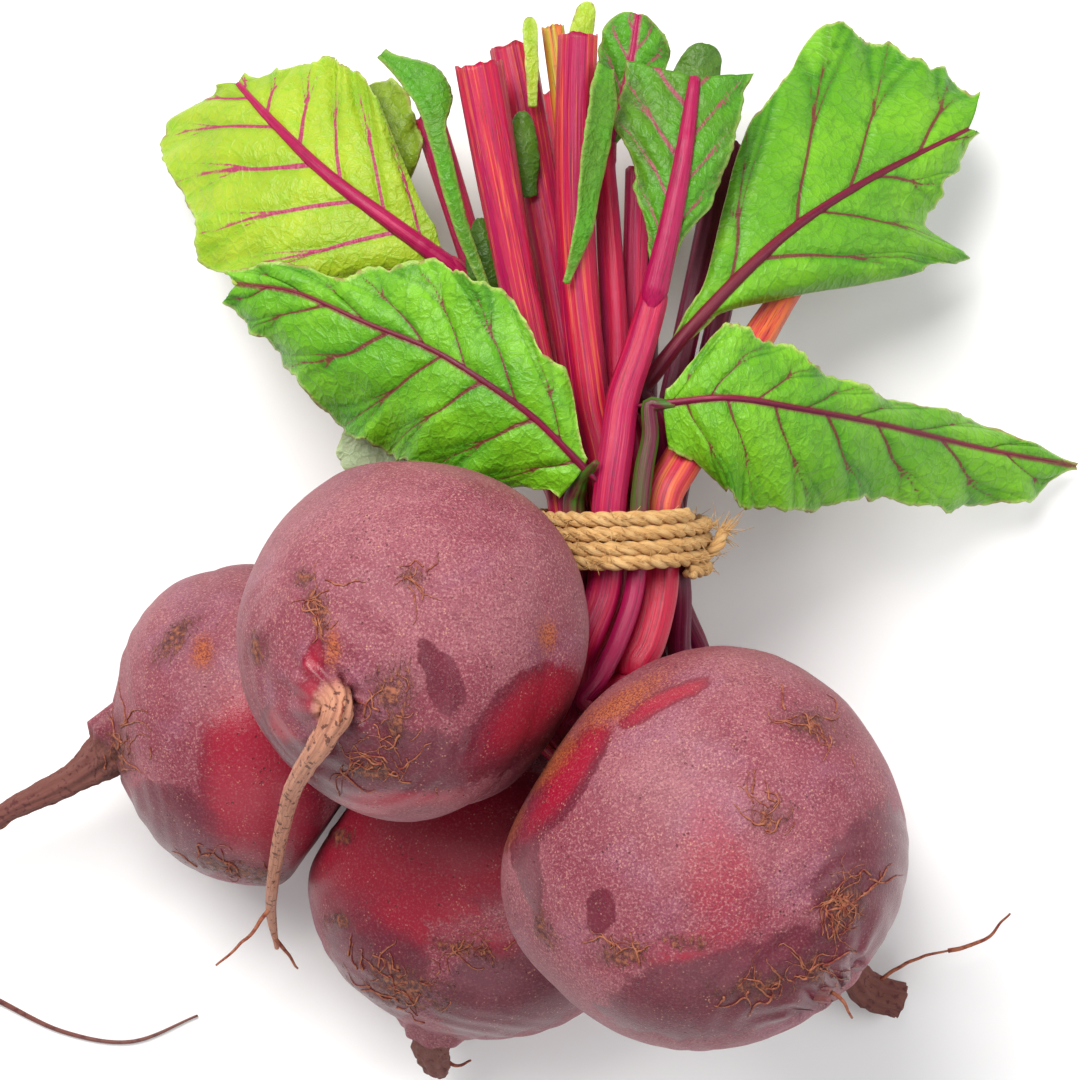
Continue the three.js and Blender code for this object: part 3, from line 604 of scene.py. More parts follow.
# Rust-coloured bands, in the same way.
RUST = {
    "beet_upper": [(-37.6, -19.5, 1.7, 5.5, -8), (1.4, -17.5, 2.4, 4, 0)],
    "beet_left": [(-66, -22, 3, 4, 0)],
    "beet_lower": [],
    "beet_right": [(15, -29.8, 12, 2.7, 32), (1.5, -41.2, 10.5, 2.8, 48), (-6.4, -53.5, 8.5, 2.5, 68)],
    "beet_under": [],
}


def skin_shape(beet, rings, depth, angle):
    """Lumps, growth rings and folds of the skin, as a height in mm, and the fields that colour it."""
    seed = BEETS.index(beet) * 11 + 3
    name = beet["name"]
    front = step(-12, 0, rings[..., 2] - beet["centre"][2])
    wobble = rough(rings, 13, seed)
    moist = spots_field(rings + wobble[..., None] * 2.2, MOIST[name])
    moist = np.where(front > 0.5, moist, noise(rings, 26, seed + 5) * 1.6 - 0.35)
    cork = spots_field(rings + wobble[..., None] * 1.5, CORK[name])
    cork = np.where(front > 0.5, cork, noise(rings, 17, seed + 6) * 1.5 - 1.0)
    crimson = spots_field(rings + wobble[..., None] * 2.0, CRIMSON[name])
    crimson = np.where(front > 0.5, crimson, noise(rings, 30, seed + 10) * 1.6 - 0.5)
    rust = spots_field(rings + wobble[..., None] * 0.8, RUST[name])
    rust = np.where(front > 0.1, rust, noise(rings, 22, seed + 11) * 1.6 - 0.9)
    body = 1 - step(0.96, 1.1, depth)
    height = 0.75 * noise(rings, 30, seed) + 0.28 * noise(rings, 12, seed + 1)
    height = (height + 0.07 * noise(rings, 4, seed + 2)) * body
    band = depth * beet["reach"][1] + 1.5 * noise(rings, 15, seed + 3)
    near_root = step(0.45, 0.95, depth) * body
    near_crown = step(-0.7, -0.98, depth)
    height += 0.16 * np.sin(band * 1.9) * near_root + 0.22 * np.sin(band * 2.6) * near_crown
    folds = np.sin(angle * 9 + 2.4 * noise(rings, 9, seed + 4)) * step(0.86, 1.02, depth)
    thick = step(0.6, 4.5, np.linalg.norm(rings - rings.mean(1, keepdims=True), axis=-1))
    height += folds * 0.3 * thick
    tail = step(1.0, 1.1, depth)
    height += tail * thick * (0.45 * noise(rings, 2.4, seed + 7) + 0.3 * noise(rings, 1.2, seed + 8))
    height += 0.3 * step(-0.1, 0.5, cork) * (0.5 + noise(rings, 2.2, seed + 9)) * body
    return height, {
        "moist": moist, "crimson": crimson, "cork": cork, "rust": rust, "depth": depth,
        "lengthwise": wrapped(angle, 3, depth * 4),
    }


def beet_material(name, moist_bias, crimson_bias, wine_root, settings):
    finish = Finish(name)
    here = finish.node("TexCoord").outputs["Object"]
    depth = finish.field("depth")
    broad = finish.noise(here, 45, 3)
    grain = finish.noise(here, 2600, 2, 0.6)
    fine = finish.noise(here, 2100, 3, 0.7)
    blotch = finish.noise(here, 190, 5, 0.62, 0.4)
    ragged = finish.noise(here, 420, 5, 0.7)

    jitter = (ragged - 0.5) * 0.6
    moist = finish.field("moist") + moist_bias + jitter
    wet = finish.step(moist, -0.03, 0.12)
    vivid = finish.field("crimson") + crimson_bias + jitter
    vivid = finish.step(vivid, -0.35, 0.55)

    skin = finish.mix(finish.step(broad, 0.4, 0.62), settings.dusty, settings.dusty_pale)
    skin = finish.mix(finish.step(finish.noise(here, 75, 3), 0.5, 0.66), skin, settings.lilac, 0.6)
    skin = finish.mix(finish.step(blotch, 0.5, 0.66), skin, settings.wine, 0.3)
    skin = finish.mix(vivid, skin, settings.crimson, 0.45)
    skin = finish.mix(finish.step(grain, 0.52, 0.38), skin, settings.wine, 0.62)
    skin = finish.mix(finish.step(fine, 0.48, 0.68), skin, settings.bloom, 0.5)
    deep = finish.mix(finish.step(blotch, 0.35, 0.7), settings.wine, settings.wine_dark, 0.45)
    deep = finish.mix(vivid, deep, settings.crimson, 0.9)
    deep = finish.mix(finish.step(fine, 0.52, 0.7), deep, settings.bloom, 0.16)
    colour = finish.mix(wet, skin, deep, 0.86)
    pores = finish.step(finish.cells(here, 1250), 0.26, 0.12)
    pores = pores * finish.step(finish.noise(here, 240, 3), 0.5, 0.6)
    colour = finish.mix(pores, colour, settings.lenticel, 0.6)
    pits = finish.step(finish.cells(here, 700), 0.2, 0.1)
    pits = pits * finish.step(finish.noise(here, 160, 3), 0.5, 0.62)
    colour = finish.mix(pits, colour, settings.cork_dark, 0.75)

    scratchy = finish.noise(finish.stretched(here, (1.0, 0.35, 1.0)), 620, 6, 0.75, 1.2)
    scar = finish.field("cork") + (scratchy - 0.56) * 5.0
    scar = finish.step(scar, 0.1, 0.5)
    bark = finish.mix(
        finish.step(finish.noise(here, 900, 4), 0.35, 0.65), settings.cork_dark, settings.cork_light,
    )
    stained = finish.step(finish.field("cork"), -0.35, 0.7) * 0.4
    colour = finish.mix(stained, colour, settings.cork_dark)
    colour = finish.mix(scar, colour, bark, 0.8)
    rusty = finish.field("rust") + (fine - 0.5) * 2.2
    rusty = finish.step(rusty, -0.1, 0.75) * 0.85
    rust = finish.mix(finish.step(grain, 0.4, 0.58), settings.rust_dark, settings.rust)
    colour = finish.mix(rusty, colour, rust)

    rootlike = finish.step(depth, 1.015, 1.1)
    streaks = finish.noise(finish.place("lengthwise"), 1.7, 6, 0.7, 0.4)
    root = finish.mix(finish.step(streaks, 0.56, 0.4), settings.root_light, settings.root_dark, 0.6)
    nicks = finish.step(finish.noise(here, 800, 3), 0.56, 0.63) * 0.8
    root = finish.mix(nicks, root, settings.cork_dark)
    root = finish.mix(wine_root, root, settings.root_wine)
    colour = finish.mix(rootlike, colour, root)

    dry = finish.math("MAXIMUM", finish.math("MAXIMUM", scar, rusty), rootlike)
    gloss = settings.roughness - wet * 0.24 + dry * 0.3 + (fine - 0.5) * 0.25
    height = fine * 0.4 + ragged * 0.4 + scar * streaks * 1.4 - pits * 0.8
    finish.set(Base_Color=colour, Roughness=gloss, Normal=finish.bump(height, 0.00028, 0.75))
    finish.set(Specular_IOR_Level=0.42)
    return finish.material


class BeetSettings(bpy.types.PropertyGroup):
    dusty: tint("Dusty skin", "Skin with a dry bloom", (0.2, 0.03, 0.052))
    dusty_pale: tint("Pale skin", "The driest skin", (0.26, 0.07, 0.092))
    lilac: tint("Lilac skin", "Cool grey patches of dry skin", (0.235, 0.07, 0.115))
    rust: tint("Rust", "Rust-coloured bands", (0.4, 0.105, 0.028))
    rust_dark: tint("Dark rust", "Dark grain of the rust", (0.17, 0.022, 0.012))
    bloom: tint("Bloom", "Fine pale speckle on the skin", (0.5, 0.25, 0.24))
    wine: tint("Wine skin", "Moist skin", (0.115, 0.009, 0.024))
    wine_dark: tint("Dark skin", "The moistest skin", (0.06, 0.006, 0.014))
    crimson: tint("Crimson skin", "Bright skin of the lower beets", (0.3, 0.004, 0.024))
    lenticel: tint("Pores", "Small tan pores", (0.55, 0.28, 0.18))
    cork_light: tint("Light cork", "Dry brown marks", (0.33, 0.11, 0.05))
    cork_dark: tint("Dark cork", "Dark brown marks", (0.06, 0.014, 0.014))
    root_light: tint("Light root", "Pale streaks of the taproot", (0.46, 0.21, 0.13))
    root_dark: tint("Dark root", "Dark streaks of the taproot", (0.26, 0.09, 0.06))
    root_wine: tint("Wine root", "Taproots of the lower beets", (0.085, 0.018, 0.022))
    roughness: FloatProperty(
        name="Roughness", description="Roughness of dry skin", default=0.56, min=0, max=1,
    )


class BEETROOT_OT_beets(bpy.types.Operator):
    """Build the five beets with their taproots"""

    bl_idname = "beetroot.beets"
    bl_label = "Build Beets"

    def execute(self, context):
        settings = context.scene.beetroot_beets
        dusty = beet_material("beet_skin_dusty", 0.0, 0.0, 0.0, settings)
        crimson = beet_material("beet_skin_crimson", 0.12, 0.25, 0.8, settings)
        for beet in BEETS:
            rings, depth, angle = beet_rings(beet)
            height, fields = skin_shape(beet, rings, depth, angle)
            shaped = rings + ring_normals(rings) * height[..., None]
            shaped[..., 2] = np.maximum(shaped[..., 2], 0.02)
            bundle = Bundle()
            bundle.add(shaped, fields, start=beet_point(beet, np.array(-0.94), np.array(0.0), np.array(0.0)))
            points, faces, fields = bundle.mesh_parts()
            material = dusty if beet["name"] in ("beet_upper", "beet_right") else crimson
            add_piece(beet["name"] + "_skin", points, faces, [beet["name"]], material, fields)
        return {"FINISHED"}


# Stalks

# Each stalk's finish, and how its top ends: cut across, or running on into a leaf.
STALKS = {
    "stalk_front_left": ("streaked", True), "stalk_front_middle": ("streaked", True),
    "stalk_back_leaf": ("magenta", False), "stalk_orange": ("orange", True),
    "stalk_lower_right_leaf": ("green", False), "stalk_upper_right_leaf": ("dark", False),
    "stalk_far_left": ("magenta", True), "stalk_brown_leaf": ("dark", False),
    "stalk_middle_left": ("streaked", True), "stalk_upper_left_leaf": ("magenta", False),
    "stalk_mid_left_leaf": ("green", False), "stalk_yellow": ("yellow", True),
    "stalk_top_leaf": ("magenta", False), "stalk_red": ("magenta", True),
    "stalk_dark_outer": ("dark", True), "stalk_dark_inner": ("dark", True),
    "stalk_low_left": ("streaked", True), "stalk_low_right": ("dark", True),
}
STALK_CORNERS = 10
STALK_SIDES = 36
BELOW_TIE = (4.0, 9.0)  # where a two-coloured stalk changes, as its lowest and highest place in mm


def solid_line(node):
    """The middle line of a plain tube in the frame, from its lower end up, in mm, with its radii."""
    mesh = frame["nodes"][node].data
    numbers, spots, welded = {}, [], []
    for v in mesh.vertices:
        key = tuple(round(c * 1e6) for c in v.co)
        if key not in numbers:
            numbers[key] = len(spots)
            spots.append(np.array(v.co) / MM - SHIFT)
        welded.append(numbers[key])
    touching = [set() for _ in spots]
    for edge in mesh.edges:
        a, b = (welded[k] for k in edge.vertices)
        if a != b:
            touching[a].add(b)
            touching[b].add(a)
    tips = [k for k, others in enumerate(touching) if len(others) == STALK_CORNERS]
    first = min(tips, key=lambda k: spots[k][1])
    seen, ring, rings = {first}, {first}, []
    while ring:
        ring = {b for a in ring for b in touching[a]} - seen
        seen |= ring
        if len(ring) == STALK_CORNERS:
            rings.append(np.array([spots[k] for k in sorted(ring)]))
    if len(rings) < 4:
        raise RuntimeError(f"{node} isn't a plain tube")
    line = np.array([r.mean(0) for r in rings])
    return line, np.array([np.linalg.norm(r - r.mean(0), axis=1).mean() for r in rings])


def stalk_rings(node, cut):
    line, radii = solid_line(node)
    seed = sum(map(ord, node))
    pick = np.random.RandomState(seed)
    below = line[0] - unit(line[1] - line[0]) * 4.5
    beyond = line[-1] + unit(line[-1] - line[-2]) * (0.1 if cut else 3.5)
    line = np.concatenate([[below], line, [beyond]])
    radii = np.concatenate([[radii[0] * 1.25], radii, [radii[-1] * (1 if cut else 0.5)]])
    fine = smooth_line(line, np.linspace(0, 1, 500))
    wide = np.interp(np.linspace(0, 1, 500), np.linspace(0, 1, len(radii)), radii)
    count = int(line_length(fine)[-1] / 0.9)
    both = evenly(np.concatenate([fine, wide[:, None]], axis=1), count)
    line, wide = both[:, :3], both[:, 3]
    run, side, up = frames_along(line)
    angle = circle(STALK_SIDES)
    length = line_length(line)[:, None]
    twist = angle + 0.25 * np.sin(length / 40 + pick.uniform(0, 6))
    turn = pick.uniform(0, 2 * math.pi) if node not in ("stalk_front_left", "stalk_front_middle") else math.pi
    channel = np.exp(-((np.angle(np.exp(1j * (twist - turn))) / 0.55) ** 2))
    section = (1 - 0.07 * np.cos(2 * angle)) * (1 - 0.16 * channel)
    ribs = 0.03 * np.cos(9 * twist + pick.uniform(0, 6)) + 0.018 * np.cos(17 * twist + pick.uniform(0, 6))
    section = section + ribs + 0.035 * noise(wrapped(twist, 3, length * 0.05), 1.3, seed % 97)
    reach = wide[:, None] * section
    across = outwards(side, up, angle)
    rings = line[:, None] + across * reach[..., None]
    grain = wrapped(twist, wide[:, None], length + seed)
    top = 0 * angle + length - length[-1]
    if cut:
        ragged = 0.9 * noise(wrapped(angle, 4, seed), 1.6, 3)
        rings[-1] += run[-1] * (ragged[:, None] + 0.2)
        rings[-2] += run[-1] * ragged[:, None] * 0.5
        ends, grains, tops = [rings], [grain], [top]
        for share, depth in ((0.93, 0.15), (0.8, -0.5), (0.55, -1.0), (0.25, -0.7)):
            sunk = 0.35 * noise(wrapped(angle, share * 4, 0), 1.1, seed % 31)
            rise = (depth + sunk + ragged * share * 0.6)[:, None]
            ring = line[-1] + across[-1] * (reach[-1] * share)[:, None] + run[-1] * rise
            ends.append(ring[None])
            grains.append(grain[-1:] * (share, share, 1))
            tops.append(np.full((1, STALK_SIDES), 1.0 + (1 - share)))
        rings, grain, top = np.concatenate(ends), np.concatenate(grains), np.concatenate(tops)
    foot = np.concatenate([length[:, 0], np.full(len(rings) - len(length), length[-1, 0])])
    return rings, {"grain": grain, "top": top, "foot": np.broadcast_to(foot[:, None], rings.shape[:2])}


def stalk_material(name, main, shade, streak, amount, settings, below=None):
    finish = Finish(name)
    grain = finish.place("grain")
    long = finish.stretched(grain, (1.0, 1.0, 0.014))
    fine = finish.noise(long, 2.0, 4, 0.6)
    broad = finish.noise(long, 0.75, 3)
    spots = finish.noise(grain, 0.9, 4, 0.65)
    colour = finish.mix(finish.step(broad, 0.34, 0.62), shade, main)
    colour = finish.mix(finish.step(fine, 0.52, 0.66), colour, streak, amount)
    if below:
        height = finish.node("SeparateXYZ", {0: finish.node("TexCoord").outputs["Object"]}).outputs[1]
        colour = finish.mix(finish.step(height, BELOW_TIE[0] * MM, BELOW_TIE[1] * MM), below, colour)
    dark = finish.step(finish.noise(long, 3.6, 3), 0.56, 0.66)
    colour = finish.mix(dark, colour, settings.groove, 0.7)
    colour = finish.mix(finish.step(spots, 0.6, 0.7), colour, settings.scuff, 0.3)
    foot = finish.step(finish.field("foot"), 8.0, 3.0)
    colour = finish.mix(foot, colour, settings.scuff, 0.7)
    cut = finish.step(finish.field("top"), 0.95, 1.1)
    pith = finish.mix(finish.step(finish.noise(grain, 1.4, 5, 0.7), 0.4, 0.6), settings.pith, main)
    colour = finish.mix(cut, colour, pith, 0.85)
    dry = finish.step(finish.field("top"), -2.2, 0.0) * finish.step(spots, 0.45, 0.6)
    colour = finish.mix(dry, colour, settings.scuff, 0.4)
    height = fine * 1.0 + spots * 0.3
    gloss = settings.roughness + (spots - 0.5) * 0.3
    finish.set(Base_Color=colour, Roughness=gloss, Normal=finish.bump(height, 0.0003, 0.6))
    finish.set(Specular_IOR_Level=0.28)
    return finish.material


class StalkSettings(bpy.types.PropertyGroup):
    crimson: tint("Crimson", "Bright stalks", (0.42, 0.004, 0.035))
    magenta: tint("Magenta", "Pinker stalks", (0.32, 0.002, 0.06))
    orange: tint("Orange", "Orange streaks", (0.6, 0.13, 0.035))
    purple: tint("Purple", "Dark stalks", (0.1, 0.002, 0.026))
    yellow: tint("Yellow", "Yellow stalks", (0.42, 0.33, 0.03))
    green: tint("Green", "Green stalks", (0.03, 0.12, 0.006))
    pale: tint("Pale streak", "Pink streaks", (0.6, 0.045, 0.12))
    groove: tint("Groove", "Dark lines between ribs", (0.1, 0.003, 0.018))
    scuff: tint("Scuff", "Dry brown marks", (0.2, 0.035, 0.025))
    pith: tint("Pith", "Cut ends", (0.62, 0.3, 0.25))
    roughness: FloatProperty(
        name="Roughness", description="Roughness of the stalks", default=0.4, min=0, max=1,
    )


class BEETROOT_OT_stalks(bpy.types.Operator):
    """Build the ribbed leaf stalks through the tie"""

    bl_idname = "beetroot.stalks"
    bl_label = "Build Stalks"

    def execute(self, context):
        s = context.scene.beetroot_stalks
        kinds = {
            "streaked": stalk_material("stalk_streaked", s.crimson, s.magenta, s.orange, 0.65, s),
            "magenta": stalk_material("stalk_magenta", s.magenta, s.crimson, s.pale, 0.3, s),
            "orange": stalk_material("stalk_orange", s.orange, s.crimson, s.pale, 0.6, s, tuple(s.crimson)),
            "dark": stalk_material("stalk_dark", s.purple, s.groove, s.magenta, 0.5, s),
            "yellow": stalk_material("stalk_yellow", s.yellow, s.orange, s.crimson, 0.5, s),
            "green": stalk_material("stalk_green", s.green, s.purple, s.magenta, 0.15, s, tuple(s.magenta)),
        }
        for node, (kind, cut) in STALKS.items():
            rings, fields = stalk_rings(node, cut)
            bundle = Bundle()
            bundle.add(rings, fields)
            points, faces, fields = bundle.mesh_parts()
            points[:, 2] = np.maximum(points[:, 2], 0.02)
            add_piece(node + "_ribbed", points, faces, [node], kinds[kind], fields)
        return {"FINISHED"}


# Leaves


RIB_SIDES = 14


def blade(name, rib, left, right, sweep, **traits):
    """A leaf by the line of its midrib and its width on both sides of it, with what it has beside these."""
    usual = dict(face=[0, 0, 1], proud=0.0, rib_size=None, veins=0, slant=0)
    return dict(usual, name=name, rib=rib, left=left, right=right, sweep=sweep, **traits)


# Lines and widths in mm. sweep is the lean of the side veins at foot and tip, in degrees, on each side.
LEAVES = [
    blade(
        "leaf_upper_left",
        rib=[(-19, 55.5, 40), (-30, 63.5, 40), (-43, 73.5, 36), (-54.5, 85, 28), (-62, 93.5, 20)],
        left=[14, 35, 36, 31, 31, 24, 6], right=[8, 30, 31, 26, 19, 10, 3], sweep=[[35, 55], [52, 32]],
        cup=[-0.3, -0.08], wave=[1, 5], face=[0.05, 0.1, 1], kind="lime", proud=1.0, rib_size=(1.9, 0.5),
        veins=5, slant=0.04,
    ),
    blade(
        "leaf_brown", rib=[(-28, 68.5, 28), (-30, 76, 30), (-33, 84, 29), (-36.5, 90, 26)],
        left=[1, 4, 5, 4], right=[1, 8, 9, 7], sweep=[[25, 30], [25, 30]], cup=[-0.2, 0.1], wave=[1.2, 4],
        kind="dry", rib_size=(0.7, 0.3),
    ),
    blade(
        "leaf_mid_left",
        rib=[
            (8.5, 14, 64), (-1, 23.5, 66), (-12, 31.5, 65), (-21, 37, 62), (-34, 42.5, 57), (-48.5, 49, 50),
            (-60, 51, 44),
        ],
        left=[8, 18, 21, 24, 24, 18, 12, 6], right=[2, 12, 19, 20, 15, 8, 7, 4], sweep=[[-8, 42], [25, 56]],
        cup=[-0.36, -0.1], wave=[1.5, 6], face=[-0.15, -0.05, 1], kind="fresh", rib_size=(0.9, 0.3),
        veins=6, slant=0.13,
    ),
    blade(
        "leaf_pale", rib=[(-15, 15, 44), (-22, 18, 43), (-30, 19.5, 40), (-40, 16, 34)],
        left=[1, 8, 7, 6, 4], right=[1, 5, 6, 6, 4], sweep=[[20, 30], [20, 30]], cup=[-0.15, 0.2],
        wave=[1, 4], kind="pale",
    ),
    blade(
        "leaf_upper_right",
        rib=[(21.5, 31.5, 51.5), (29.5, 41.5, 50.5), (48, 60, 45), (64.5, 71.5, 36), (87.5, 84, 23)],
        left=[1, 2, 5, 32, 46, 36, 24, 9], right=[1, 1.5, 3, 38, 41, 21, 12, 3], sweep=[[44, 53], [45, 56]],
        cup=[-0.1, -0.34], wave=[1.4, 5], face=[0.12, 0.1, 1], kind="fresh", proud=0.5, rib_size=(1.7, 0.4),
        veins=5, slant=0.03,
    ),
    blade(
        "leaf_lower_right",
        rib=[
            (24, 26.5, 62), (36, 27.5, 64.5), (51.5, 25.5, 58), (68, 23, 44), (92, 18.5, 21),
            (112, 15.5, 5),
        ],
        left=[3, 15, 13, 9, 7, 8, 5, 1], right=[9, 18, 21, 20, 16, 16, 11, 1], sweep=[[15, 50], [0, 40]],
        cup=[-0.22, -0.25], wave=[1.4, 6], face=[0.2, 0, 1], kind="fresh", rib_size=(0.9, 0.3), veins=7,
        slant=0.1,
    ),
    blade(
        "leaf_back", rib=[(22.5, 49, 57), (25, 59.5, 57), (28, 74.5, 55), (30.5, 91, 51)],
        left=[0.8, 4, 9, 15, 14], right=[0.8, 3, 8, 10, 11], sweep=[[28, 10], [28, 15]], cup=[-0.25, -0.2],
        wave=[0.8, 3], kind="olive", proud=1.0, rib_size=(2.7, 1.1), veins=4, slant=0.28,
    ),
    blade(
        "leaf_top", rib=[(13.5, 77, 45.5), (15.5, 85, 45.5), (18, 95, 45), (19.5, 104.5, 44)],
        left=[1, 5, 7, 6], right=[1, 6, 8, 4], sweep=[[25, 15], [25, 20]], cup=[-0.2, -0.2], wave=[1, 4],
        kind="olive", proud=0.3, rib_size=(0.9, 0.4), veins=4, slant=0.25,
    ),
    blade(
        "leaf_narrow",
        rib=[(5, 50, 58), (8.5, 60.5, 58.5), (11, 74.5, 58.5), (13, 84, 57.5), (13.5, 92, 56)],
        left=[0.8, 2.6, 4, 4.5, 3], right=[0.8, 2, 2.4, 2.2, 1.2], sweep=[[20, 20], [20, 20]],
        cup=[0.3, -0.3], wave=[0.4, 4], face=[0.3, 0, 1], kind="olive",
    ),
    blade(
        "leaf_strip",
        rib=[(-9.5, 47, 49), (-15.5, 62, 50), (-20, 79, 50.5), (-23, 88, 49), (-31.5, 96.5, 44)],
        left=[0.8, 1.6, 2, 2.5, 1], right=[0.8, 1.5, 1.8, 6, 1.5], sweep=[[15, 20], [15, 10]],
        cup=[-0.2, -0.2], wave=[0.4, 4], kind="olive",
    ),
    blade(
        "leaf_yellow", rib=[(-1.5, 86, 45), (-1.5, 95.5, 45), (-2, 104, 44)], left=[0.9, 1.5, 1.8],
        right=[0.9, 1.2, 1.4], sweep=[[10, 10], [10, 10]], cup=[0, 0], wave=[0.2, 2], kind="lime",
    ),
    blade(
        "leaf_tip", rib=[(7.5, 94, 36.5), (8.5, 100, 37), (10, 108, 36.5)], left=[1, 3, 2.4],
        right=[1, 2, 1.6], sweep=[[10, 10], [10, 10]], cup=[-0.1, -0.1], wave=[0.3, 2], kind="lime",
    ),
    # The next three small leaves take the shade kind: dark green painted shade filling the gaps deep in the
    # bunch.
    blade(
        "leaf_dark", rib=[(-9.5, 46, 43), (-11, 55, 44), (-12, 64, 43.5)], left=[2, 4, 2], right=[2, 4, 2],
        sweep=[[10, 10], [10, 10]], cup=[-0.3, -0.3], wave=[0.8, 3], kind="shade",
    ),
    blade(
        "leaf_crumpled", rib=[(30, 85, 41), (31, 91, 41.5), (33, 99, 41)], left=[1.5, 5, 3],
        right=[1.5, 5, 4], sweep=[[10, 10], [10, 10]], cup=[-0.2, -0.2], wave=[1, 4], kind="shade",
    ),
    blade(
        "leaf_shade", rib=[(-2, 68, 46), (-3, 76, 46.5), (-3.5, 85, 46)], left=[1.5, 3, 2],
        right=[1.5, 3, 2], sweep=[[10, 10], [10, 10]], cup=[-0.3, -0.3], wave=[0.8, 3], kind="shade",
    ),
]


def vein_distance(leaf, u, v, length):
    """Distance in mm to the nearest side vein, whose branches fork towards the edge."""
    reach = np.abs(v)
    best = np.full(u.shape, 99.0)
    count = leaf["veins"]
    wander = 0.012 * noise(np.stack([u * 6, v * 3, 0 * u + len(leaf["name"])], axis=-1), 1.0, 4)
    for k in range(count + 1 if count else 0):
        for which, offset in ((v > 0, 0.15), (v <= 0, 0.55)):
            home = (k + offset) / (count + 0.8)
            gap = 1 / (count + 0.8)
            for fork, start in ((0.0, 0.0), (0.3, 0.42), (-0.28, 0.5), (0.16, 0.7)):
                spread = np.maximum(reach - start, 0) / (1 - start) * 1.2
                line = home + leaf["slant"] * reach**1.2 + fork * gap * spread
                far = np.abs(u + wander - line) * length
                thin = 0.12 if fork == 0 else 0.3
                far = np.where(which & (reach >= start), far + thin * reach, 99.0)
                best = np.minimum(best, far)
    return best


def leaf_sheet(leaf, fine=1.0):
    """The blade's middle sheet as a grid of points, with its fields and its two directions at the midrib."""
    rib = np.array(leaf["rib"], float)
    length = line_length(smooth_line(rib, np.linspace(0, 1, 200)))[-1]
    widest = max(max(leaf["left"]), max(leaf["right"]))
    rows = int(np.clip(length / 0.5, 50, 170) * fine)
    half = int(np.clip(widest / 0.58, 10, 56) * fine)
    u = np.linspace(0, 1, rows)[:, None]
    v = np.linspace(-1, 1, 2 * half + 1)[None, :]
    u, v = u + 0 * v, v + 0 * u
    line = smooth_line(rib, u[:, 0])
    run = unit(
        smooth_line(rib, np.minimum(u[:, 0] + 1e-4, 1)) - smooth_line(rib, np.maximum(u[:, 0] - 1e-4, 0))
    )
    side = unit(np.cross(unit(leaf["face"]), run))
    up = unit(np.cross(run, side))
    left = v > 0
    width = np.where(left, along(leaf["left"], u), along(leaf["right"], u))
    if length < 32:
        width = width * np.sqrt(np.maximum(1 - (np.maximum(u - 0.8, 0) / 0.205) ** 2, 0.02))
    sweeps = np.where(left[..., None], leaf["sweep"][0], leaf["sweep"][1])
    lean = np.radians(sweeps[..., 0] * (1 - u) + sweeps[..., 1] * u)
    seed = len(leaf["name"]) * 7 + len(leaf["rib"])
    edge = np.stack([u * length, np.sign(v) * 30, 0 * u], axis=-1)
    teeth = 0.6 * noise(edge, 5.5, seed) + 0.5 * noise(edge, 2.4, seed + 1)
    teeth = teeth + 0.25 * noise(edge, 1.1, seed + 2)
    out = np.abs(v) * width + teeth * np.abs(v) ** 8 * np.minimum(2.2, 0.16 * width)
    cup = np.where(left, leaf["cup"][0], leaf["cup"][1])
    high, waves = leaf["wave"]
    ruffle = high * np.abs(v) ** 3 * np.sin(waves * 2 * math.pi * u + np.where(left, 0, 1.9) + v)
    flat = np.stack(
        [u * length + out * np.sin(lean), np.sign(v) * out * np.cos(lean), 0 * u + seed * 3.0], axis=-1,
    )
    frill = np.abs(v) ** 5 * (0.9 * noise(edge, 7, seed + 3) + 0.6 * noise(edge, 3, seed + 4))
    lift = cup * out * np.abs(v) + (ruffle + frill) * np.minimum(1, width / 8)
    vein = vein_distance(leaf, u, v, length)
    ribward = out + (0 if leaf["rib_size"] else 9)
    full = np.minimum(1, width / 6) * (1 - 0.7 * np.abs(v) ** 6)
    bulge = 1 - np.exp(-((np.minimum(vein, ribward) / 1.9) ** 2))
    pucker = bulge * (0.8 + 0.75 * noise(flat, 6, seed + 5)) + 0.22 * noise(flat, 2.8, seed + 6) * bulge
    billow = 2.2 * noise(flat, 16, seed + 8) * np.minimum(1, width / 14)
    ridge = np.exp(-((vein / 0.42) ** 2)) * (0.45 * leaf["proud"] - 0.12)
    lift = lift + (pucker * 0.8 + ridge) * full + billow * np.abs(v) * eased(2 * np.abs(v))
    points = (
        line[:, None]
        + side[:, None] * (np.sign(v) * out * np.cos(lean))[..., None]
        + run[:, None] * (out * np.sin(lean))[..., None]
        + up[:, None] * lift[..., None]
    )
    points[..., 2] = np.maximum(points[..., 2], 0.5)
    fields = {"vein": vein, "rib": ribward, "rim": (1 - np.abs(v)) * width, "flat": flat, "reach": np.abs(v)}
    return points, fields, run, up


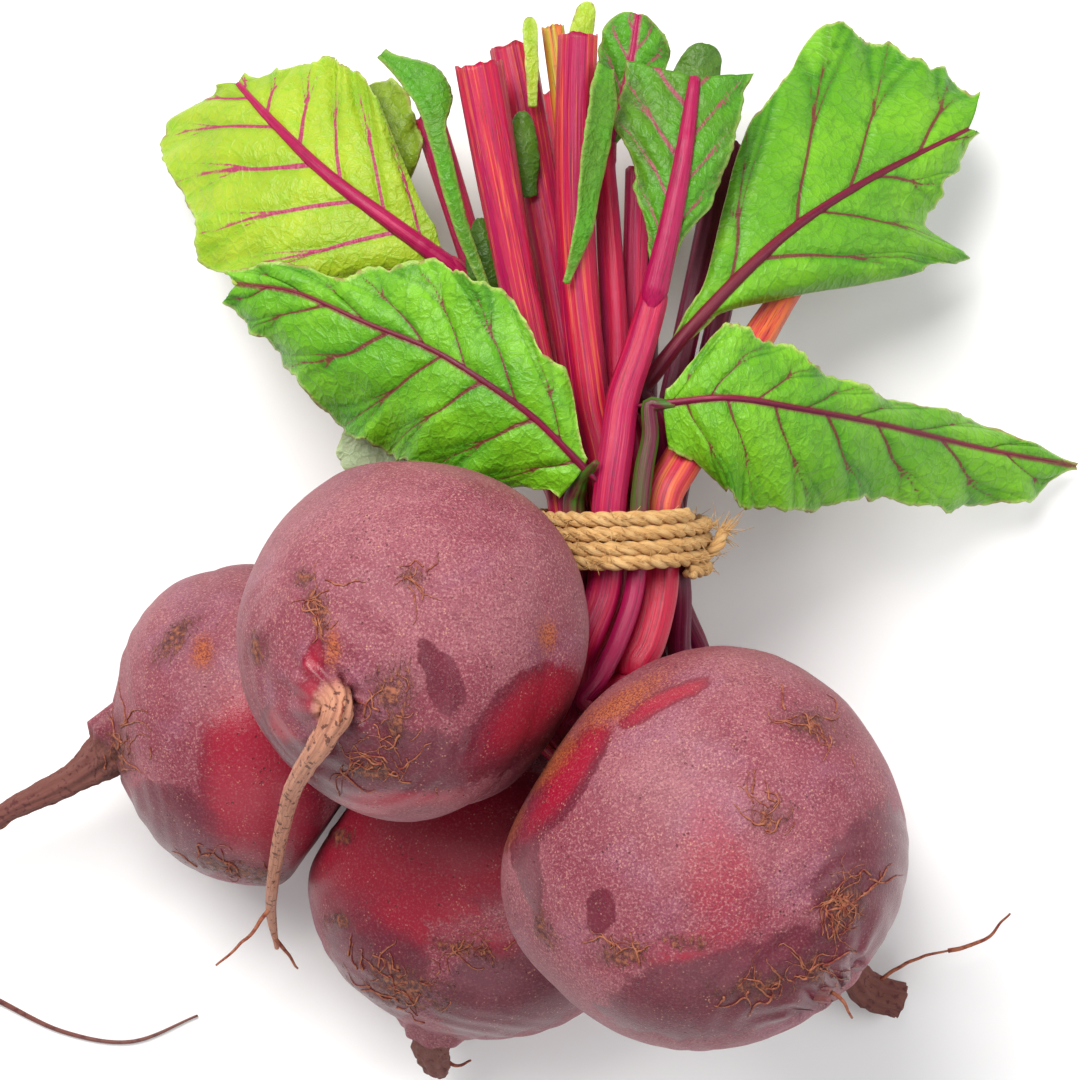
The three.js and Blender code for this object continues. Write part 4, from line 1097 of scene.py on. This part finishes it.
def leaf_mesh(leaf, thickness):
    """A closed blade: an upper and a lower face joined round the edge."""
    points, fields, _, _ = leaf_sheet(leaf)
    rows, columns = points.shape[:2]
    normal = unit(np.cross(np.gradient(points, axis=1), np.gradient(points, axis=0)))
    half = thickness / 2 * (1 - 0.5 * fields["reach"] ** 4)[..., None]
    upper, lower = points - normal * half, points + normal * half
    if (normal[..., 2] < 0).mean() < 0.5:
        upper, lower = lower, upper
    number = np.arange(rows * columns).reshape(rows, columns)
    a, b, c, d = number[:-1, :-1], number[:-1, 1:], number[1:, 1:], number[1:, :-1]
    quads = np.stack([a, b, c, d], axis=-1).reshape(-1, 4)
    size = rows * columns
    edge = np.concatenate([number[0, :-1], number[:-1, -1], number[-1, :0:-1], number[:0:-1, 0]])
    onward = np.roll(edge, -1)
    rim = np.stack([edge, edge + size, onward + size, onward], axis=1)
    faces = np.concatenate([quads, quads[:, ::-1] + size, rim]).tolist()
    both = {}
    for name, values in fields.items():
        flat = values.reshape(size, -1)
        joined = np.concatenate([flat, flat])
        both[name] = joined[:, 0] if joined.shape[1] == 1 else joined
    both["under"] = np.concatenate([np.zeros(size), np.ones(size)])
    return np.concatenate([upper.reshape(-1, 3), lower.reshape(-1, 3)]), faces, both


def rib_mesh(leaf):
    """The midrib, thick where it leaves the stalk and thin at the tip."""
    points, _, run, up = leaf_sheet(leaf, 0.5)
    middle = points[:, points.shape[1] // 2]
    base, tip = leaf["rib_size"]
    t = np.linspace(0, 1, len(middle))
    radii = base * (1 - t) ** 0.8 + tip * t
    shift = (leaf["proud"] - 0.45) * radii * 0.55
    path = middle + up * shift[:, None]
    inside = np.array([-6.0, -4.5, -3.0, -1.5])[:, None]  # the start, hidden in the stalk
    path = np.concatenate([path[0] + run[0] * inside, path])
    radii = np.concatenate([radii[0] * np.array([0.3, 0.5, 0.72, 0.9]), radii])
    angle = circle(RIB_SIDES)
    length = line_length(path)[:, None] + 0 * angle
    grain = wrapped(angle, radii[:, None], length)
    bundle = Bundle()
    bundle.add(
        tube(path, radii, RIB_SIDES), {"grain": grain, "top": 0 * length - 9, "foot": 0 * length + 20},
    )
    return bundle.mesh_parts()


# Besides its random tone, light also serves as a painted highlight on the raised bulges between the veins.
# Likewise dark serves as painted shade in the hollows along the veins and in the sunken net.
def leaf_material(name, main, light, dark, vein, vein_share, rim_share, settings):
    finish = Finish(name)
    flat = finish.place("flat")
    rim = finish.field("rim")
    broad = finish.noise(flat, 0.07, 3)
    mottle = finish.noise(flat, 0.5, 4, 0.6)
    fine = finish.noise(flat, 2.2, 3, 0.6)
    drift = finish.node("TexNoise", {"Vector": flat, "Scale": 0.6}).outputs["Color"]
    bent = finish.node("VectorMath", {0: flat, 1: drift}, operation="ADD").outputs[0]
    net = finish.cells(bent, 0.42, "DISTANCE_TO_EDGE")
    small = finish.cells(bent, 1.15, "DISTANCE_TO_EDGE")
    near = finish.math("MINIMUM", finish.field("vein"), finish.field("rib"))

    colour = finish.mix(finish.step(broad, 0.35, 0.65), main, light)
    colour = finish.mix(finish.step(mottle, 0.5, 0.7), colour, dark, 0.5)
    # Painted highlight: the raised bulges between the veins are mixed towards the light green.
    between = finish.step(near, 0.4, 2.6)
    colour = finish.mix(between, colour, light, 0.35)
    # Partly vein colour and partly painted shade: the fine net is darkened where its bump sinks.
    lines = finish.step(net, 0.075, 0.012)
    colour = finish.mix(lines, colour, dark, 0.2)
    threads = finish.step(small, 0.06, 0.0)
    colour = finish.mix(threads, colour, settings.net, 0.12)
    wide = 0.62 - finish.field("reach") * 0.42
    wide = wide + (fine - 0.5) * 0.35
    drawn = finish.step(finish.field("vein") - wide, 0.14, -0.14)
    drawn = drawn * vein_share
    # Painted shade: the sunken hollows along the veins are darkened.
    painted_vein_shade = finish.step(finish.field("vein"), 1.5, 0.3)
    colour = finish.mix(painted_vein_shade, colour, dark, 0.3)
    colour = finish.mix(drawn, colour, vein)
    middle = finish.step(finish.field("rib"), 1.2, 0.5)
    colour = finish.mix(middle, colour, vein, 0.85)
    edge = finish.step(rim + fine, 1.5, 0.55)
    colour = finish.mix(edge, colour, settings.rim, rim_share)
    burnt = edge * finish.step(finish.noise(flat, 0.35, 3), 0.52, 0.6)
    colour = finish.mix(burnt, colour, settings.burnt, rim_share)
    below = finish.mix(0.55, colour, settings.under)
    colour = finish.mix(finish.field("under"), colour, below)

    height = finish.step(net, 0.0, 0.22) + finish.step(small, 0.0, 0.2) * 0.35
    height = height + mottle * 0.8
    gloss = settings.roughness + (fine - 0.5) * 0.3
    finish.set(Base_Color=colour, Roughness=gloss, Normal=finish.bump(height, 0.0003, 0.45))
    finish.set(Specular_IOR_Level=0.3)
    return finish.material


class LeafSettings(bpy.types.PropertyGroup):
    thickness: FloatProperty(
        name="Thickness", description="Thickness of a blade in mm", default=0.5, min=0.2, max=1,
    )
    fresh: tint("Fresh green", "Main green", (0.06, 0.25, 0.004))
    # On the fresh leaves this is also the painted highlight on the raised bulges between the veins.
    fresh_light: tint("Light green", "Raised parts", (0.15, 0.4, 0.01))
    # On the fresh leaves this is also the painted shade in the hollows along the veins and in the sunken net.
    fresh_dark: tint("Dark green", "Hollows", (0.012, 0.095, 0.003))
    lime: tint("Lime", "Yellow-green leaf", (0.2, 0.32, 0.008))
    lime_light: tint("Light lime", "Its lightest parts", (0.33, 0.44, 0.018))
    olive: tint("Olive", "Leaf undersides in the bunch", (0.075, 0.175, 0.01))
    # Painted shade: the small leaves deep in the bunch are coloured very dark green for the dark gaps between
    # the stalks.
    shade: tint("Shade", "Small dark leaves", (0.02, 0.075, 0.006))
    dry: tint("Dry", "Brownish leaf", (0.13, 0.17, 0.015))
    pale: tint("Pale", "Silvery leaf", (0.45, 0.55, 0.33))
    vein: tint("Veins", "Dark red veins", (0.14, 0.008, 0.02))
    vein_pink: tint("Pink veins", "Magenta veins", (0.33, 0.01, 0.09))
    net: tint("Fine net", "Finest veins", (0.25, 0.42, 0.06))
    rim: tint("Edge", "Pale toothed edge", (0.45, 0.55, 0.14))
    burnt: tint("Burnt edge", "Brown tips", (0.22, 0.08, 0.03))
    under: tint("Underside", "Paler underside", (0.22, 0.34, 0.1))
    roughness: FloatProperty(
        name="Roughness", description="Roughness of the blades", default=0.42, min=0, max=1,
    )


class BEETROOT_OT_leaves(bpy.types.Operator):
    """Build the puckered leaf blades with their midribs"""

    bl_idname = "beetroot.leaves"
    bl_label = "Build Leaves"

    def execute(self, context):
        s = context.scene.beetroot_leaves
        stalks = context.scene.beetroot_stalks
        kinds = {
            "fresh": leaf_material("leaf_fresh", s.fresh, s.fresh_light, s.fresh_dark, s.vein, 0.9, 0.65, s),
            "lime": leaf_material(
                "leaf_lime", s.lime, s.lime_light, s.fresh_light, s.vein_pink, 0.95, 0.5, s,
            ),
            "olive": leaf_material("leaf_olive", s.olive, s.fresh, s.shade, s.vein_pink, 0.7, 0.3, s),
            # The shade kind paints the small leaves deep in the bunch dark, as painted shade.
            "shade": leaf_material("leaf_shade", s.shade, s.olive, s.shade, s.vein, 0.2, 0.0, s),
            "dry": leaf_material("leaf_dry", s.dry, s.lime, s.shade, s.burnt, 0.6, 0.6, s),
            "pale": leaf_material("leaf_pale", s.pale, s.pale, s.olive, s.fresh_dark, 0.4, 0.3, s),
        }
        ribs = {
            "fresh": stalk_material("rib_dark_red", s.vein, stalks.purple, stalks.magenta, 0.4, stalks),
            "lime": stalk_material("rib_magenta", stalks.magenta, stalks.magenta, stalks.pale, 0.3, stalks),
        }
        for leaf in LEAVES:
            points, faces, fields = leaf_mesh(leaf, s.thickness)
            add_piece(
                leaf["name"] + "_blade", points, faces, [leaf["name"]], kinds[leaf["kind"]], fields,
            )
            if not leaf["rib_size"]:
                continue
            points, faces, fields = rib_mesh(leaf)
            pink = leaf["kind"] in ("lime", "olive")
            add_piece(
                leaf["name"] + "_midrib", points, faces, [], ribs["lime" if pink else "fresh"],
                fields,
            )
        return {"FINISHED"}


# Twine


def wound_line():
    """The middle of the cord, whose turns lie side by side round the stalks."""
    t = np.linspace(0, 1, 900)
    turn = t * TIE_TURNS * 2 * math.pi + 0.9
    drift = (t - 0.5) * (TIE_TURNS * TWINE * 0.98 - TWINE * 0.2)
    loose = 0.25 * np.sin(turn * 1.3 + 1)
    across, up = TIE_INNER[0] + TWINE / 2 + 0.12 * loose, TIE_INNER[1] + TWINE / 2 + 0.12 * loose
    bow = -TIE_BOW * np.cos(turn)
    points = np.stack([across * np.sin(turn), drift + bow + loose * 0.35, up * np.cos(turn)], axis=1)
    return points + TIE_CENTRE


def twisted_cord(bundle, line, width, seed, sides=10):
    """Three strands twisted round each other, each with a rough surface of its own."""
    line = evenly(line, int(line_length(line)[-1] / 0.33))
    _, side, up = frames_along(line, (0, 1, 0))
    length = line_length(line)
    thick = width * 0.285
    for strand in range(3):
        twist = length / (width * 3.2) * 2 * math.pi + strand * 2 * math.pi / 3
        turned = side * np.cos(twist)[:, None] + up * np.sin(twist)[:, None]
        middle = line + turned * (width * 0.235)
        rings = tube(middle, thick, sides, (0, 1, 0))
        angle = circle(sides)
        hair = wrapped(angle, 2, length[:, None] * 0.35 + strand * 20 + seed)
        bumps = 0.13 * noise(hair, 0.5, 5) + 0.12 * noise(hair, 1.5, 6)
        rings = middle[:, None] + (rings - middle[:, None]) * (1 + 2.2 * bumps[..., None] * 0.5)
        grain = wrapped(angle, thick, length[:, None] + 0.8 * angle / 6 + strand * 9 + seed)
        bundle.add(rings, {"grain": grain})


def stray_fibres(bundle, line, count, reach, seed):
    """Thin hairs that stand off the cord."""
    pick = np.random.RandomState(seed)
    run = runs_of(line)
    for _ in range(count):
        k = pick.randint(2, len(line) - 2)
        out = unit(line[k] - TIE_CENTRE - (0, line[k][1] - TIE_CENTRE[1], 0))
        if pick.rand() < 0.5:
            out = unit(out + run[k] * pick.normal() * 0.6)
        start = line[k] + out * TWINE * 0.38
        size = reach * pick.uniform(0.35, 1.0)
        heading = unit(
            out * 0.75 + run[k] * pick.choice([-1, 1]) * pick.uniform(0.4, 1.3) + pick.normal(size=3) * 0.35
        )
        bend = pick.normal(size=3) * 0.5
        s = np.linspace(0, 1, 8)[:, None]
        hair = start + heading * size * s + bend * size * 0.5 * s**2
        hair[:, 2] = np.clip(hair[:, 2], 1.0, 106.0)
        rings = tube(hair, np.linspace(0.09, 0.04, 8), 4)
        grain = np.zeros((8, 4, 3)) + (0, 0, pick.uniform(0, 90))
        bundle.add(rings, {"grain": grain})


def loose_end(bundle):
    """The cord's cut end, pulled out to the right and frayed."""
    start = TIE_CENTRE + (TIE_INNER[0] + 1.2, -2.5, 4)
    line = smooth_line(
        [start, start + (1.8, 0.8, 1.8), start + (3.0, 2.2, 1.2), start + (3.4, 3.8, -1)],
        np.linspace(0, 1, 80),
    )
    twisted_cord(bundle, line, TWINE * 0.85, 77)
    pick = np.random.RandomState(9)
    tip = line[-1]
    for _ in range(46):
        heading = unit(np.array([0.9, 0.5, -0.3]) + pick.normal(size=3) * 0.45)
        size = pick.uniform(1.5, 4.5)
        s = np.linspace(0, 1, 7)[:, None]
        hair = tip + pick.normal(size=3) * 0.5 + heading * size * s + pick.normal(size=3) * size * 0.3 * s**2
        rings = tube(hair, np.linspace(0.12, 0.05, 7), 4)
        bundle.add(rings, {"grain": np.zeros((7, 4, 3)) + (0, 0, pick.uniform(0, 90))})


def twine_material(settings):
    finish = Finish("jute")
    grain = finish.place("grain")
    long = finish.stretched(grain, (1.0, 1.0, 0.12))
    fibres = finish.noise(long, 4.5, 5, 0.7)
    patches = finish.noise(grain, 0.35, 3)
    # Partly the darker tone of some fibres and partly painted shade: the cord is darkened where the fibre
    # bump sinks.
    colour = finish.mix(finish.step(fibres, 0.28, 0.56), settings.jute_dark, settings.jute)
    colour = finish.mix(finish.step(patches, 0.45, 0.65), colour, settings.jute_light, 0.5)
    finish.set(Base_Color=colour, Roughness=0.85, Normal=finish.bump(fibres, 0.0003, 0.8))
    return finish.material


class TwineSettings(bpy.types.PropertyGroup):
    jute: tint("Jute", "Main colour of the cord", (0.58, 0.33, 0.12))
    jute_light: tint("Light jute", "Sunny fibres", (0.7, 0.48, 0.22))
    # Darker fibres, and painted shade in the hollows between them.
    jute_dark: tint("Dark jute", "Hollows between fibres", (0.3, 0.15, 0.05))
    fibres: IntProperty(
        name="Stray fibres", description="Number of hairs standing off the cord", default=620, min=0,
        max=2000,
    )
    reach: FloatProperty(
        name="Fibre reach", description="Length of the longest hairs in mm", default=3.8, min=0.5, max=12,
    )


class BEETROOT_OT_twine(bpy.types.Operator):
    """Build the twisted jute cord round the stalks"""

    bl_idname = "beetroot.twine"
    bl_label = "Build Twine"

    def execute(self, context):
        s = context.scene.beetroot_twine
        jute = twine_material(s)
        line = wound_line()
        cord = Bundle()
        twisted_cord(cord, line, TWINE, 0)
        loose_end(cord)
        points, faces, fields = cord.mesh_parts()
        add_piece("twine_cord", points, faces, ["twine_tie"], jute, fields)
        hairs = Bundle()
        stray_fibres(hairs, line, s.fibres, s.reach, 5)
        points, faces, fields = hairs.mesh_parts()
        add_piece("twine_fibres", points, faces, [], jute, fields)
        return {"FINISHED"}


# Root hairs

# Hairs on the beets in mm, as the beet and the line from the skin outwards.
HAIRS = [
    ("beet_left", [(-106, -54, 22), (-110, -58.5, 18), (-113, -60.5, 16)]),
    ("beet_upper", [(-53.5, -73, 41.5), (-58, -79, 39), (-65, -85.5, 36)]),
    ("beet_upper", [(-53.7, -80.5, 30), (-51.5, -84, 27), (-49.5, -87.5, 24)]),
    ("beet_lower", [(-22, -105, 18), (-17, -108.5, 15), (-14.5, -108, 12)]),
    ("beet_right", [(50, -82, 99), (55.5, -84.5, 102), (57.5, -88, 99)]),
    ("beet_under", [(68, -94, 7), (77, -87.8, 9), (86, -85, 11)]),
    ("beet_under", [(85, -85.3, 10.8), (92.5, -82.5, 12.5), (97, -77, 14.5)]),
]

# Patches of rootlets lying on the skin, as beet, x, y, half length, half width, lean and number.
ROOTLETS = [
    ("beet_upper", -28, -35, 8, 9, 0, 26), ("beet_upper", -31, -42, 9, 3, -8, 14),
    ("beet_upper", -40, -12, 3, 7, 10, 14), ("beet_upper", -23, -7, 3, 3, 0, 6),
    ("beet_right", 50, -33, 8, 3, -20, 14), ("beet_right", 42, -49, 5, 4, -30, 12),
    ("beet_right", 55, -66, 5, 9, -20, 34), ("beet_right", 50, -78, 4, 5, 0, 12),
    ("beet_right", 39, -81, 8, 3, 0, 12), ("beet_right", 15, -75, 6, 3, -10, 8),
    ("beet_lower", -27, -88, 12, 6, -20, 26), ("beet_lower", -12, -80, 8, 4, -15, 10),
    ("beet_left", -84, -42, 5, 8, -10, 16), ("beet_left", -60, -66, 14, 4, -10, 12),
]


def root_material(settings):
    finish = Finish("rootlets")
    here = finish.node("TexCoord").outputs["Object"]
    streaks = finish.noise(here, 700, 4, 0.65)
    colour = finish.mix(finish.step(streaks, 0.36, 0.62), settings.rust_dark, settings.cork_light)
    finish.set(Base_Color=colour, Roughness=0.75, Normal=finish.bump(streaks, 0.0002, 0.5))
    return finish.material


def draped(tree, points, lift):
    """The line laid on the surface below it, or None where there is no surface."""
    laid = []
    for p in points:
        hit, normal, _, _ = tree.ray_cast(Vector((p[0], p[1], 300)), Vector((0, 0, -1)))
        if hit is None or normal.z < 0.12:
            return None
        laid.append(np.array(hit) + np.array(normal) * lift)
    return np.array(laid)


class RootSettings(bpy.types.PropertyGroup):
    length: FloatProperty(
        name="Length", description="Length of the longest rootlets in mm", default=9, min=1, max=30,
    )
    thickness: FloatProperty(
        name="Thickness", description="Radius of the rootlets in mm", default=0.2, min=0.05, max=1,
    )


class BEETROOT_OT_roots(bpy.types.Operator):
    """Add the side roots and the rootlets on the skin"""

    bl_idname = "beetroot.roots"
    bl_label = "Build Roots"

    def execute(self, context):
        s = context.scene.beetroot_roots
        material = root_material(context.scene.beetroot_beets)
        for beet in BEETS:
            name = beet["name"]
            skin = bpy.data.objects.get(name + "_skin")
            if skin is None:
                raise RuntimeError(f"{name} has to be built before its roots")
            spots = [np.array(v.co) / MM - SHIFT for v in skin.data.vertices]
            tree = BVHTree.FromPolygons(
                [Vector(p) for p in spots], [list(f.vertices) for f in skin.data.polygons],
            )
            bundle = Bundle()
            for owner, line in HAIRS:
                if owner != name:
                    continue
                fine = smooth_line(line, np.linspace(0, 1, 34))
                fine = fine + 0.35 * np.stack([noise(fine, 3.5, k) for k in (1, 2, 3)], axis=1)
                bundle.add(tube(fine, np.linspace(0.5, 0.22, 34), 8))
            pick = np.random.RandomState(len(name) * 5)
            for owner, x, y, across, up, lean, count in ROOTLETS:
                if owner != name:
                    continue
                turn = math.radians(lean)
                for _ in range(count):
                    a, b = pick.normal(size=2) * 0.45
                    at = np.array([x + a * across * math.cos(turn) - b * up * math.sin(turn),
                                   y + a * across * math.sin(turn) + b * up * math.cos(turn)])
                    heading = pick.uniform(0, 2 * math.pi)
                    size = s.length * pick.uniform(0.25, 1)
                    path = [at]
                    for _ in range(13):
                        heading += pick.normal() * 0.33
                        path.append(path[-1] + np.array([math.cos(heading), math.sin(heading)]) * size / 13)
                    thick = s.thickness * pick.uniform(0.5, 1.3)
                    laid = draped(tree, path, thick * 0.7)
                    if laid is None or np.abs(np.diff(laid[:, 2])).max() > 3:
                        continue
                    bundle.add(tube(laid, np.linspace(thick, thick * 0.4, 14), 6))
            if bundle.count:
                points, faces, fields = bundle.mesh_parts()
                add_piece(name + "_rootlets", points, faces, [], material, fields)
        return {"FINISHED"}


# Stage


def soft_lamp(name, place, target, size, power, colour):
    data = bpy.data.lights.new(name, "AREA")
    data.shape = "RECTANGLE"
    data.size, data.size_y = size
    data.energy = power
    data.color = colour
    lamp = bpy.data.objects.new(name, data)
    lamp.location = place
    lamp.rotation_euler = (Vector(target) - Vector(place)).to_track_quat("-Z", "Y").to_euler()
    bpy.context.scene.collection.objects.link(lamp)
    return lamp


class StageSettings(bpy.types.PropertyGroup):
    floor: tint("Floor", "Floor colour", (0.88, 0.88, 0.88))
    power: FloatProperty(
        name="Power", description="Power of the main light in watts", default=8, min=0, unit="POWER",
    )
    sky: FloatProperty(name="Sky", description="Strength of the even light", default=0.36, min=0, max=5)


class BEETROOT_OT_stage(bpy.types.Operator):
    """Set the pale floor, the soft lights and the camera"""

    bl_idname = "beetroot.stage"
    bl_label = "Build Stage"

    def execute(self, context):
        s = context.scene.beetroot_stage
        scene = context.scene
        finish = Finish("paper")
        finish.set(Base_Color=s.floor, Roughness=0.9)
        mesh = bpy.data.meshes.new("floor")
        mesh.from_pydata([(-3, -3, 0), (3, -3, 0), (3, 3, 0), (-3, 3, 0)], [], [(0, 1, 2, 3)])
        mesh.materials.append(finish.material)
        floor = bpy.data.objects.new("floor", mesh)
        scene.collection.objects.link(floor)
        middle = (0, 0, 0.05)
        lamps = [
            soft_lamp("key", (-0.35, 0.55, 0.95), middle, (0.7, 0.7), s.power * 2.3, (1, 0.985, 0.96)),
            soft_lamp("fill", (0.75, 0.1, 0.7), middle, (0.6, 0.8), s.power * 0.55, (0.97, 0.985, 1)),
            soft_lamp("front", (0.0, -0.8, 0.6), middle, (1.0, 0.5), s.power * 0.3, (1, 1, 1)),
        ]
        world = bpy.data.worlds.new("studio")
        world.use_nodes = True
        world.node_tree.nodes["Background"].inputs["Color"].default_value = (1, 1, 1, 1)
        world.node_tree.nodes["Background"].inputs["Strength"].default_value = s.sky
        scene.world = world
        scene.view_settings.view_transform = "Standard"
        camera = bpy.data.objects.new("camera", bpy.data.cameras.new("camera"))
        camera.data.lens = VIEW_LENS
        camera.data.sensor_width = SENSOR
        camera.data.clip_end = 20
        camera.location = (SHIFT[0] * MM, SHIFT[1] * MM, VIEW_HEIGHT * MM)
        scene.collection.objects.link(camera)
        scene.camera = camera
        return {"FINISHED"}


# Panel and registration


class BEETROOT_PT_panel(bpy.types.Panel):
    """Settings and buttons for each part of the bunch"""

    bl_idname = "BEETROOT_PT_panel"
    bl_label = "Beetroot Bunch"
    bl_space_type = "VIEW_3D"
    bl_region_type = "UI"
    bl_category = "Beetroot"

    def draw(self, context):
        for attribute, (group, operator) in PARTS.items():
            box = self.layout.box()
            box.operator(operator)
            settings = getattr(context.scene, attribute)
            for key in group.__annotations__:
                box.prop(settings, key)


PARTS = {
    "beetroot_beets": (BeetSettings, "beetroot.beets"),
    "beetroot_roots": (RootSettings, "beetroot.roots"),
    "beetroot_stalks": (StalkSettings, "beetroot.stalks"),
    "beetroot_leaves": (LeafSettings, "beetroot.leaves"),
    "beetroot_twine": (TwineSettings, "beetroot.twine"),
    "beetroot_stage": (StageSettings, "beetroot.stage"),
}
CLASSES = (
    BeetSettings, RootSettings, StalkSettings, LeafSettings, TwineSettings, StageSettings,
    BEETROOT_OT_beets, BEETROOT_OT_roots, BEETROOT_OT_stalks, BEETROOT_OT_leaves, BEETROOT_OT_twine,
    BEETROOT_OT_stage, BEETROOT_PT_panel,
)


def register():
    for one in CLASSES:
        bpy.utils.register_class(one)
    for attribute, (group, _) in PARTS.items():
        setattr(bpy.types.Scene, attribute, PointerProperty(type=group))


def unregister():
    for attribute in PARTS:
        delattr(bpy.types.Scene, attribute)
    for one in reversed(CLASSES):
        bpy.utils.unregister_class(one)


def main():
    register()
    bpy.ops.beetroot.beets()
    bpy.ops.beetroot.roots()
    bpy.ops.beetroot.stalks()
    bpy.ops.beetroot.leaves()
    bpy.ops.beetroot.twine()
    bpy.ops.beetroot.stage()
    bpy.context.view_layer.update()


if __name__ == "__main__":
    main()
